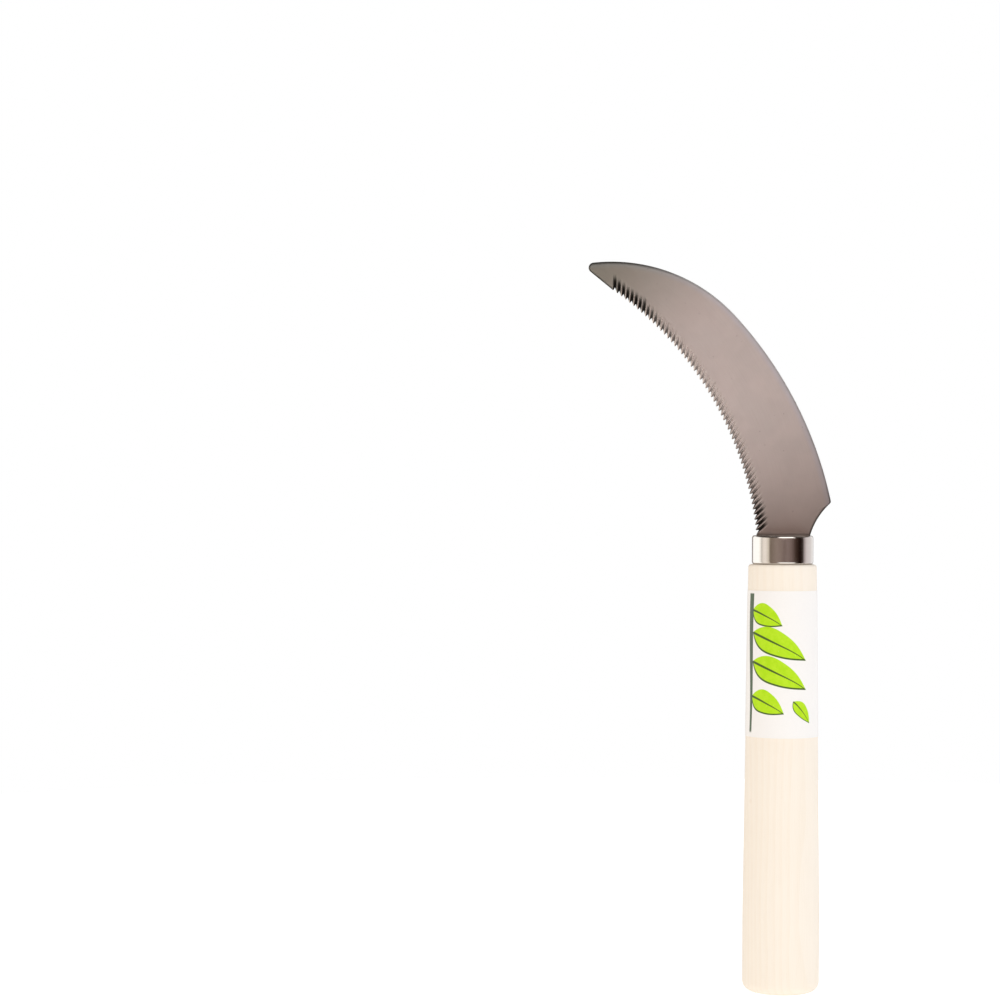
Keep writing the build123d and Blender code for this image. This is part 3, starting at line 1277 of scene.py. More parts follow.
@dataclass(frozen=True)
class BladePaintedLightAndWear:
    """Where painted shade blackens the blade, where a painted highlight brightens it and where it is
    dull: each fade goes from its first value to its second.

    Fades across a groove are in shares of half the pitch, and the reaches along it in shares of
    the groove's length.
    """

    # Painted shade in the grooves: how dark along the toothed edge, how far it spreads across and reaches
    # along each groove.
    groove_shade_along: tuple[Span, ...] = ((0.0, 1.0), (0.07, 0.95), (0.12, 0.6), (0.25, 0.5), (0.55, 0.4),
                                    (0.8, 0.65), (0.88, 1.0), (1.0, 1.0))
    # Painted shade along the far outline: along the toothed stretch, the neck and the tip.
    rim_along: tuple[Span, ...] = ((0.0, 0.4), (0.5, 0.3), (0.75, 0.6), (0.9, 0.9), (1.0, 0.97))
    neck_rim: tuple[float, ...] = (0.9, 0.9, 0.9, 0.85, 0.4)
    tip_rim: tuple[float, ...] = (0.97, 0.97, 0.97, 0.95)
    groove_shade_spread: float = 0.32
    groove_shade_black: float = 0.97
    groove_shade_start: Span = (-0.45, -0.15)
    groove_shade_end: Span = (0.62, 0.9)
    groove_shade_reach: Span = (0.55, 1.0)
    least_reach: float = 0.3
    # Painted highlight on the ground flank of each groove.
    bright: float = 0.85
    bright_end: Span = (-0.62, -0.30)
    bright_reach: Span = (0.5, 1.15)
    rim_start: float = 0.25 * MM
    rim_width: Span = (1.05 * MM, 1.5 * MM)
    rim_widening: Span = (0.7, 0.9)
    tip_black: float = 0.9
    tip_start: Span = (-0.1 * MM, 0.8 * MM)
    tip_edge: float = 0.3 * MM
    bevel_dull: float = 0.55
    least_bevel: float = 0.02
    band_start: float = 0.8 * MM
    band_reach: float = 1.2


@dataclass
class ToothedBlade:
    """Crescent, neck and tang as one sheet: V grooves in front, a ground bevel behind."""

    thickness: float
    outline: BladeOutline
    pin_height: float
    tooth_count: int = 56
    columns_per_tooth: int = 10
    neck_columns: int = 74
    tip_columns: int = 90
    tip_reach: float = 0.996
    tip_crowding: float = 1.25
    groove_length: float = 5.6 * MM
    groove_growth: Span = (0.85, 0.32)
    groove_depth: float = 0.72 * MM
    groove_lean: float = 33.0
    length_swing: float = 0.10
    depth_swing: float = 0.07
    bevel_width: float = 3.6 * MM
    bevel_start: Span = (-1.3, -0.1)
    edge_thickness: float = 0.16 * MM
    burr: float = 0.03 * MM
    deepest_cut: float = 0.42
    roll_width: float = 2.7 * MM
    roll_margin: float = 1.15
    roll_depth: float = 0.07 * MM
    front_rounding: float = 0.26 * MM
    back_rounding: float = 0.14 * MM
    tip_bevel_width: float = 1.0 * MM
    tip_bevel_depth: float = 0.14 * MM
    tip_bevel_start: Span = (-0.2 * MM, 0.6 * MM)
    full_width: float = 12.0 * MM
    past_grooves: float = 6.6 * MM
    runout_gap: float = 0.12 * MM
    pin_hole_radius: float = 1.35 * MM
    shoulder_rise: float = 0.25 * MM
    crease: float = 14.0
    painted_light_and_wear: BladePaintedLightAndWear = BladePaintedLightAndWear()
    finish: BladeSteel = BladeSteel()

    def build(self, effects: Effects) -> bpy.types.Object:
        """Makes the blade, drills the tang for the pin and dresses it.

        Args:
            effects: the shared shader groups.

        Returns:
            The piece, riding on the body in place of the CAD blade.
        """
        columns = self._columns()
        front_run = self._front_rows(columns)
        back_run = self._back_rows(columns)
        front, front_marks = self._skin(columns, front_run, Side.FRONT)
        back, back_marks = self._skin(columns, back_run, Side.BACK)
        marks = {name: (front_marks[name], back_marks[name]) for name in front_marks}
        piece = two_skins("toothed_blade", front, back, self.crease, marks)
        drill = slab("drill", pin_outline(self.pin_hole_radius, self.pin_height, 40), -MM, MM)
        carve(piece, drill, self.crease)
        piece.data.materials.clear()
        piece.data.materials.append(self.finish.make(effects, self.outline.rim / MM))
        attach(piece, BODY)
        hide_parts("blade")
        return piece

    def _columns(self) -> Columns:
        """All the columns: tang, neck, toothed stretch and tip.

        Returns:
            The columns, from the end of the tang to the nose.
        """
        shape = self.outline
        tang_share = np.concatenate([np.linspace(0, 0.07, 10), np.linspace(0.12, 1, 14)])
        side = evenly(shape.tang_side(), tang_share)
        tang = Columns.without_teeth(side, side * np.array([-1.0, 1.0]), (0.0, 0.0))
        teeth = self._toothed()
        share = np.linspace(0.0, 1.0, self.neck_columns)
        left = np.array([[-shape.neck_half_width, shape.ledge + self.shoulder_rise], shape.edge_start])
        right = shape.lower_back(teeth.far[0])
        right[0, 1] += self.shoulder_rise
        neck = Columns.without_teeth(evenly(left, share)[:-1], evenly(right, share)[:-1], self.painted_light_and_wear.neck_rim)
        ahead = np.linspace(0.0, self.tip_reach, self.tip_columns)
        tip_share = 1.0 - (1.0 - ahead) ** self.tip_crowding
        tip = Columns.without_teeth(evenly(shape.lower_tip(), tip_share)[1:],
                                    evenly(shape.upper_back(teeth.far[-1]), tip_share)[1:],
                                    self.painted_light_and_wear.tip_rim)
        return Columns.joined([tang, neck, teeth, tip])

    def _toothed(self) -> Columns:
        """Columns that lean with the grooves, an equal number to each tooth.

        Column k stands at arc length s from the first tooth, on the edge's circle, and runs at
        the radius's angle plus the grooves' lean until it meets the back.

        Returns:
            The columns, from the ferrule's side to the tip's.
        """
        shape = self.outline
        random = np.random.default_rng(SEED)
        pitch = shape.edge_run / self.tooth_count
        s = np.arange(self.tooth_count * self.columns_per_tooth + 1) * pitch / self.columns_per_tooth
        turn = shape.edge_lean + np.degrees(s / shape.edge_radius)
        near = shape.edge_centre + shape.edge_radius * unit(turn)
        far = shape.back_hit(near, unit(turn + self.groove_lean))
        tooth = np.minimum((s / pitch).astype(int), self.tooth_count - 1)
        groove = (s / pitch - tooth - 0.5) * 2
        swing = random.uniform(-1.0, 1.0, (2, self.tooth_count))
        along = s / s[-1]
        # Painted shade of each groove along the edge; grooves run longer where it is darker.
        groove_shade = np.interp(along, *zip(*self.painted_light_and_wear.groove_shade_along))
        least, growth = self.groove_growth
        length = self.groove_length * (least + growth * groove_shade) * (1 + self.length_swing * swing[0][tooth])
        depth = self.groove_depth * (1 + self.depth_swing * swing[1][tooth])
        rim = np.interp(along, *zip(*self.painted_light_and_wear.rim_along))
        return Columns(near, far, groove, length, depth, np.zeros(len(s)), groove_shade, rim)

    def _start(self, columns: Columns) -> np.ndarray:
        """How far along each column the steel begins, past the notch that its groove leaves.

        The groove's floor falls by depth over length and the bevel's face rises by thickness over
        width, so the two cross where depth times (1 - share) less the edge's thickness is used up.

        Args:
            columns: the columns across the blade.

        Returns:
            One distance for each column.
        """
        lean = math.cos(math.radians(self.groove_lean))
        rise = (self.thickness - self.edge_thickness) * lean / self.bevel_width
        fall = columns.depth / columns.length
        deep = columns.depth * (1 - np.abs(columns.groove)) - (self.edge_thickness - self.burr)
        return np.where(columns.groove < 1, np.maximum(deep, 0.0) / (rise + fall), 0.0)

    def _squeeze(self, width: np.ndarray) -> np.ndarray:
        """Share by which a column shorter than the full width narrows its stretches."""
        return np.minimum(1.0, width / self.full_width)

    def _front_rows(self, columns: Columns) -> np.ndarray:
        """Distances along each column of the front skin's rows.

        Rows stand at the notch, at the groove's run-out, at a line past all grooves, at the start
        of the rolled back and through its rounding.

        Args:
            columns: the columns across the blade.

        Returns:
            One row of distances for each column.
        """
        width = columns.width()
        start = self._start(columns)
        squeeze = self._squeeze(width)
        taper = columns.length * (1 - np.abs(columns.groove))
        runout = np.where(columns.groove < 1, taper, self.tip_bevel_width * squeeze)
        runout = np.maximum(runout, start + self.runout_gap * squeeze)
        past = self.past_grooves * squeeze
        roll = width - self.roll_width * squeeze * self.roll_margin
        rounding = width - self.front_rounding * squeeze
        return spans((start, runout, 5), (runout, past, 6), (past, roll, 5), (roll, rounding, 8),
                     (rounding, width, 8))

    def _back_rows(self, columns: Columns) -> np.ndarray:
        """Distances along each column of the back skin's rows: edge, bevel's top, and the rounding.

        Args:
            columns: the columns across the blade.

        Returns:
            One row of distances for each column.
        """
        width = columns.width()
        squeeze = self._squeeze(width)
        lean = math.cos(math.radians(self.groove_lean))
        top = np.where(columns.plain > 0, self.bevel_width * squeeze, self.bevel_width / lean)
        rounding = width - self.back_rounding * squeeze
        return spans((self._start(columns), top, 8), (top, rounding, 16), (rounding, width, 8))

    def _skin(self, columns: Columns, run: np.ndarray, side: Side) -> tuple[
            np.ndarray, dict[str, np.ndarray]]:
        """Points and attributes of one skin.

        A point at distance t along a column is near + t times the column's direction, and its y is
        half the thickness less what groove, bevels and roundings take off there.

        Args:
            columns: the columns across the blade.
            run: distances along each column.
            side: which face it is.

        Returns:
            The points, and the values of lay, wear, dirt, band and tone at them.
        """
        width = columns.width()[:, None]
        ahead = (columns.far - columns.near) / width
        flat = columns.near[:, None] + run[..., None] * ahead[:, None]
        far_tangent = np.gradient(columns.far, axis=0)
        far_tangent /= np.maximum(np.hypot(*far_tangent.T), TINY)[:, None]
        square = np.abs(ahead[:, 0] * far_tangent[:, 1] - ahead[:, 1] * far_tangent[:, 0])[:, None]
        inset = (width - run) * np.clip(square, LEAST_SQUARENESS, 1.0)
        bevel = self._bevel_cut(flat)
        left = self.thickness - bevel
        share = 1 - run / columns.length[:, None] - np.abs(columns.groove)[:, None]
        groove = np.maximum(columns.depth[:, None] * share, 0.0)
        if side is Side.FRONT:
            cut = np.maximum(self._roll(flat, inset), self._tip_bevel(flat, run, columns))
            cut = np.minimum(cut, self.deepest_cut * left)
            cut = np.maximum(cut, np.minimum(groove, left - self.burr))
            y = -self.thickness / 2 + cut
        else:
            y = self.thickness / 2 - np.maximum(bevel, self._round_over(inset, self.back_rounding))
        points = np.stack([flat[..., 0], y, flat[..., 1]], axis=-1)
        return points, self._marks(columns, run, flat, inset, side)

    def _edge_turn(self, flat: np.ndarray) -> np.ndarray:
        """Angle in degrees of points of the blade's plane round the edge's centre."""
        offset = flat - self.outline.edge_centre
        return np.degrees(np.arctan2(offset[..., 1], offset[..., 0]))

    def _bevel_cut(self, flat: np.ndarray) -> np.ndarray:
        """What the ground bevel takes off the back at points of the blade's plane.

        It falls evenly from its full depth at the edge to nothing at its width, and fades in over
        the last stretch of plain neck below the first tooth.

        Args:
            flat: points of the blade's plane.

        Returns:
            One depth for each point.
        """
        shape = self.outline
        offset = flat - shape.edge_centre
        from_arc = np.hypot(offset[..., 0], offset[..., 1]) - shape.edge_radius
        on_tip = (flat - shape.edge_end) @ shape.tip_along
        from_line = (flat - shape.edge_end) @ shape.tip_inward
        distance = np.where(on_tip > 0, from_line, from_arc)
        fade = smooth_ramp(self._edge_turn(flat), *(shape.edge_lean + turn for turn in self.bevel_start))
        depth = self.thickness - self.edge_thickness
        return depth * fade * np.clip(1 - distance / self.bevel_width, 0.0, 1.0)

    def _round_over(self, inset: np.ndarray, radius: float) -> np.ndarray:
        """Drop of a quarter-round corner: radius less the height of its circle at that inset."""
        inside = np.clip(radius - inset, 0.0, radius)
        return radius - np.sqrt(radius**2 - inside**2)

    def _roll(self, flat: np.ndarray, inset: np.ndarray) -> np.ndarray:
        """Drop along the back, where shearing drew the sheet's face down: a parabola and a round.

        Args:
            flat: points of the blade's plane.
            inset: how far they are from the far outline.

        Returns:
            One depth for each point.
        """
        from_back = np.maximum(self.outline.back_inset(flat), 0.0)
        slope = self.roll_depth * np.clip(1 - from_back / self.roll_width, 0.0, 1.0) ** 2
        return slope + self._round_over(inset, self.front_rounding)

    def _tip_bevel(self, flat: np.ndarray, run: np.ndarray, columns: Columns) -> np.ndarray:
        """Narrow front bevel along the plain edge of the tip, and a touch of rounding on the neck.

        Args:
            flat: points of the blade's plane.
            run: their distances along the columns.
            columns: the columns across the blade.

        Returns:
            One depth for each point.
        """
        shape = self.outline
        on_tip = smooth_ramp((flat - shape.edge_end) @ shape.tip_along, *self.tip_bevel_start)
        from_line = np.maximum((flat - shape.edge_end) @ shape.tip_inward, 0.0)
        facet = self.tip_bevel_depth * np.clip(1 - from_line / self.tip_bevel_width, 0.0, 1.0)
        neck = columns.plain[:, None] * (1 - on_tip) * self._round_over(run, self.back_rounding)
        return facet * on_tip + neck

    def _marks(self, columns: Columns, run: np.ndarray, flat: np.ndarray, inset: np.ndarray,
               side: Side) -> dict[str, np.ndarray]:
        """Values that the finish reads at each point: lay, the bright flanks, the painted shade with the
        dull bevel, band and tone.

        Painted shade blackens a groove over its middle and the flank towards the point, and its other flank
        is ground bright under a painted highlight, which shows as a pale stroke beside each black one.
        Painted shade also darkens the far outline.  The bevel at the back is left dull from the wheel.

        Args:
            columns: the columns across the blade.
            run: distances along each column.
            flat: the points in the blade's plane.
            inset: how far they are from the far outline.
            side: which face it is.

        Returns:
            One array for each value's name.
        """
        shape, painted_light_and_wear = self.outline, self.painted_light_and_wear
        middle = (columns.near + columns.far) / 2
        along = np.concatenate([[0.0], np.cumsum(np.hypot(*np.diff(middle, axis=0).T))])
        lay = np.stack([np.broadcast_to(along[:, None], run.shape) / MM, run / MM,
                        np.full(run.shape, SIDE_GAP * side.value)], axis=-1)
        nose_turn = angle_of(shape.tip_corner - shape.edge_centre)
        tone = np.clip((self._edge_turn(flat) - shape.edge_lean) / (nose_turn - shape.edge_lean), 0.0, 1.0)
        front = 1.0 if side is Side.FRONT else 0.0
        across = np.broadcast_to(columns.groove[:, None], run.shape)
        spread = painted_light_and_wear.groove_shade_spread * np.clip(2 * columns.groove_shade[:, None] - 1, 0.0, 1.0)

        # Ground flank of each groove, brightened by a painted highlight.
        flank = (1 - smooth_ramp(across + spread, *painted_light_and_wear.bright_end)) * (1 - columns.plain[:, None])
        near_edge = 1 - smooth_ramp(run, *(self.groove_length * share for share in painted_light_and_wear.bright_reach))
        # Painted shade in each groove, black over its middle and the flank towards the point.
        stroke = smooth_ramp(across + spread, *painted_light_and_wear.groove_shade_start)
        stroke = stroke * (1 - smooth_ramp(across - spread, *painted_light_and_wear.groove_shade_end))
        blackened = painted_light_and_wear.least_reach + (1 - painted_light_and_wear.least_reach) * columns.groove_shade
        reach = run / (columns.length * blackened)[:, None]
        groove_shade = front * columns.groove_shade[:, None] * stroke * (1 - smooth_ramp(reach, *painted_light_and_wear.groove_shade_reach))

        # Painted shade along the far outline.
        narrow, broad = painted_light_and_wear.rim_width
        rim_width = narrow + (broad - narrow) * smooth_ramp(tone, *painted_light_and_wear.rim_widening)
        edge = columns.rim[:, None] * (1 - smooth_ramp(inset, painted_light_and_wear.rim_start, rim_width))
        on_tip = smooth_ramp((flat - shape.edge_end) @ shape.tip_along, *painted_light_and_wear.tip_start)
        tip_edge = painted_light_and_wear.tip_black * on_tip * (1 - smooth_ramp(run, painted_light_and_wear.tip_edge, self.tip_bevel_width))
        beveled = self._bevel_cut(flat) > painted_light_and_wear.least_bevel * self.thickness
        ground = (1 - front) * painted_light_and_wear.bevel_dull * beveled
        band_end = self.roll_width * painted_light_and_wear.band_reach
        band = front * (1 - smooth_ramp(shape.back_inset(flat), painted_light_and_wear.band_start, band_end))
        # The bright flanks carry a painted highlight; the painted shade of grooves and outlines is joined
        # with the tip's black edge and the dull bevel.
        return {"lay": lay, "painted_light_and_wear": front * painted_light_and_wear.bright * flank * near_edge,
                "painted_shade_and_dulling": np.maximum.reduce([painted_light_and_wear.groove_shade_black * groove_shade, edge, tip_edge, ground]),
                "band": band, "tone": tone}


# ------------------------------------------------------------------------------- handle and fittings


@dataclass
class TurnedHandle:
    """Handle turned from one piece of wood, sawn and bored for the tang and its pin."""

    ledge: float
    rim: float
    pin_height: float
    pin_radius: float
    grip_radius: float = 14.7 * MM
    grip_top: float = 30.0 * MM
    ledge_radius: float = 13.1 * MM
    butt_rounding: float = 4.0 * MM
    ledge_rounding: float = 1.1 * MM
    neck_radius: float = 10.85 * MM
    neck_recess: float = 0.7 * MM
    tang_clearance: float = 0.3 * MM
    kerf_foot: float = 0.05 * MM
    tool_mark_depth: float = 0.012 * MM
    tool_mark_waves: Span = (1.9, 0.37)
    face_points: int = 8
    side_points: int = 90
    segments: int = 160
    crease: float = 32.0
    finish: PaleWood = PaleWood()

    def radius(self, z: float | np.ndarray) -> float | np.ndarray:
        """Radius at height z: straight to the grip's top, then an even taper to the ledge."""
        share = np.clip((z - self.grip_top) / (self.ledge - self.grip_top), 0.0, 1.0)
        return self.grip_radius + (self.ledge_radius - self.grip_radius) * share

    def profile(self) -> np.ndarray:
        """Half section from the butt's centre to the middle of the neck's top.

        The lathe's marks are shallow hollows where the product of two sines of the height is
        below 0.

        Returns:
            (radius, height) points.
        """
        count = self.face_points
        flat = self.grip_radius - self.butt_rounding
        face = np.column_stack([np.linspace(0.0, flat, count)[:-1], np.zeros(count - 1)])
        butt = arc(np.array([flat, self.butt_rounding]), self.butt_rounding, -90.0, 0.0, 12)
        height = np.linspace(self.butt_rounding, self.ledge - self.ledge_rounding, self.side_points)[1:]
        fast, slow = (np.sin(height / MM * wave) for wave in self.tool_mark_waves)
        tool_marks = self.tool_mark_depth * fast * slow
        side = np.column_stack([self.radius(height) + np.minimum(tool_marks, 0.0), height])
        shoulder_centre = side[-1] - np.array([self.ledge_rounding, 0.0])
        shoulder = arc(shoulder_centre, self.ledge_rounding, 0.0, 90.0, 8)[1:]
        neck_top = self.rim - self.neck_recess
        neck = np.array([[self.neck_radius, self.ledge], [self.neck_radius, neck_top]])
        top = np.column_stack([np.linspace(self.neck_radius, 0.0, count)[1:], np.full(count - 1, neck_top)])
        return np.concatenate([face, butt, side, shoulder, neck, top])

    def build(self, effects: Effects, outline: BladeOutline, thickness: float) -> bpy.types.Object:
        """Turns the handle, saws its kerf, sinks the tang's pocket, bores the pin's hole, dresses it.

        Args:
            effects: the shared shader groups.
            outline: the blade's outline, for the tang's pocket.
            thickness: the blade's thickness, for the kerf and the pocket.

        Returns:
            The piece, riding on the body in place of the CAD handle.
        """
        piece = turned("turned_handle", self.profile(), self.segments, self.crease)
        half = thickness / 2
        wide = self.neck_radius + MM
        low, high = self.ledge - self.kerf_foot, self.rim + MM
        kerf = np.array([[-wide, low], [wide, low], [wide, high], [-wide, high]])
        carve(piece, slab("kerf", kerf, -half, half), self.crease)
        side = outline.tang_side() - self.tang_clearance
        side[-1, 1] = self.ledge + MM
        pocket = np.concatenate([side, side[::-1] * np.array([-1.0, 1.0])])
        carve(piece, slab("pocket", pocket, -half, half), self.crease)
        reach = self.grip_radius + MM
        bore = slab("bore", pin_outline(self.pin_radius, self.pin_height, 32), -reach, reach)
        carve(piece, bore, self.crease)
        piece.data.materials.clear()
        piece.data.materials.append(self.finish.make(effects))
        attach(piece, BODY)
        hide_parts("handle")
        return piece


@dataclass
class Ferrule:
    """Pressed ring round the neck, both rims rounded over."""

    foot: float
    rim: float
    radius: float = 11.75 * MM
    wall: float = 0.9 * MM
    rounding: float = 0.75 * MM
    rim_height: float = 1.2 * MM
    inner_easing: float = 0.12 * MM
    rim_points: int = 14
    side_points: int = 8
    inside_points: int = 4
    segments: int = 224
    crease: float = 40.0
    finish: PlatedSteel = PlatedSteel(
        name="bright_ferrule", base=(0.66, 0.635, 0.61), dull=(0.42, 0.38, 0.34), roughness=0.085,
        line_depth=0.004 * MM)

    def build(self, effects: Effects) -> bpy.types.Object:
        """Turns the ring from its closed section and dresses it.

        Its rims are quarter ellipses: the rounding across and the rim height along the axis.

        Args:
            effects: the shared shader groups.

        Returns:
            The piece, riding on the body in place of the CAD ferrule.
        """
        bore = self.radius - self.wall
        squash = np.array([self.rounding, self.rim_height])
        out = self.radius - self.rounding
        low, high = self.foot + self.rim_height, self.rim - self.rim_height
        foot_round = np.array([out, low]) + squash * unit(np.linspace(-90, 0, self.rim_points))
        rim_round = np.array([out, high]) + squash * unit(np.linspace(0, 90, self.rim_points))
        side_z = np.linspace(low, high, self.side_points + 2)[1:-1]
        side = np.column_stack([np.full(self.side_points, self.radius), side_z])
        eased = self.rim - self.inner_easing
        lip = arc(np.array([bore + self.inner_easing, eased]), self.inner_easing, 90.0, 180.0, 4)
        inside_z = np.linspace(eased, self.foot, self.inside_points + 1)[1:]
        inside = np.column_stack([np.full(self.inside_points, bore), inside_z])
        section = np.concatenate([foot_round, side, rim_round, lip, inside])
        section = np.concatenate([section, section[:1]])
        piece = turned("ferrule_ring", section, self.segments, self.crease)
        piece.data.materials.append(self.finish.make(effects))
        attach(piece, BODY)
        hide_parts("ferrule")
        return piece


@dataclass
class WrappedLabel:
    """Printed paper wrapped once round the handle, its end lapped over its start at the back."""

    foot: float
    top: float
    thickness: float = 0.15 * MM
    overlap: float = 7.0 * MM
    lap_rise_degrees: float = 5.0
    steps: int = 300
    rows: int = 40
    crease: float = 30.0
    finish: PrintedPaper = PrintedPaper()

    def build(self, effects: Effects, handle: TurnedHandle) -> bpy.types.Object:
        """Wraps the strip and dresses it.

        At angle a from the back the paper lies on the handle's radius at its height, and rises by
        one thickness just before it meets its own start.

        Args:
            effects: the shared shader groups.
            handle: the handle that it is wrapped on.

        Returns:
            The piece, riding on the body in place of the CAD label.
        """
        lap = math.degrees(self.overlap / float(handle.radius(self.top)))
        angle = np.linspace(0.0, 360.0 + lap, self.steps)
        height = np.linspace(self.foot, self.top, self.rows)
        lift = self.thickness * smooth_ramp(angle, 360.0 - self.lap_rise_degrees, 360.0)
        inner = handle.radius(height)[None, :] + lift[:, None]
        round_axis = unit(angle + 90.0)
        skins = [self._skin(inner + add, round_axis, height) for add in (self.thickness, 0.0)]
        across = (angle - 180.0) / 180.0 * math.pi * handle.radius((self.foot + self.top) / 2) / MM
        up = (height - self.foot) / MM
        lay = np.stack(np.broadcast_arrays(across[:, None], up[None, :], 1.0), axis=-1)
        hidden = lay * np.array([1.0, 1.0, 0.0])
        piece = two_skins("wrapped_label", *skins, self.crease, {"lay": (lay, hidden)})
        piece.data.materials.append(self.finish.make(effects))
        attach(piece, BODY)
        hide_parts("label")
        return piece

    def _skin(self, radius: np.ndarray, round_axis: np.ndarray, height: np.ndarray) -> np.ndarray:
        """Points at those radii, directions and heights: (r cos a, r sin a, z).

        Args:
            radius: distance from the axis, as steps by rows.
            round_axis: unit vector of each step.
            height: height of each row.

        Returns:
            The points, as steps by rows by 3.
        """
        flat = radius[..., None] * round_axis[:, None]
        tall = np.broadcast_to(height, radius.shape)
        return np.concatenate([flat, tall[..., None]], axis=-1)


@dataclass
class TangPin:
    """Steel pin through handle and tang, filed to the handle's round at both ends."""

    height: float
    radius: float
    rings: int = 6
    segments: int = 40
    crease: float = 35.0
    finish: PlatedSteel = PlatedSteel(
        name="pin_steel", base=(0.52, 0.50, 0.48), dull=(0.28, 0.25, 0.22), roughness=0.32,
        line_depth=0.008 * MM)

    def build(self, effects: Effects, handle: TurnedHandle) -> bpy.types.Object:
        """Makes the pin along Y and dresses it.

        A point at distance d from the pin's axis and angle a round it ends at y where x squared
        plus y squared is the handle's radius squared.

        Args:
            effects: the shared shader groups.
            handle: the handle whose round its ends follow.

        Returns:
            The piece, riding on the body in place of the CAD pin.
        """
        angle = np.arange(self.segments) * 2 * math.pi / self.segments
        outwards = np.linspace(0.0, 1.0, self.rings)
        spread = self.radius * np.concatenate([outwards, np.linspace(1.0, 0.0, self.rings)])
        x = spread[:, None] * np.cos(angle)
        z = self.height + spread[:, None] * np.sin(angle)
        side = np.repeat([-1.0, 1.0], self.rings)[:, None]
        y = side * np.sqrt(handle.radius(z) ** 2 - x**2)
        vertices = np.stack([x, y, z], axis=-1).reshape(-1, 3)
        faces = grid_quads(2 * self.rings, self.segments, True)
        piece = make_piece("tang_pin", vertices, faces, self.crease)
        piece.data.materials.append(self.finish.make(effects))
        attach(piece, BODY)
        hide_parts("cross_pin")
        return piece


# ------------------------------------------------------------------------------- studio


@dataclass(frozen=True)
class Screen:
    """One upright strip of the studio: its azimuth in degrees and its light."""

    azimuth: float
    colour: Colour


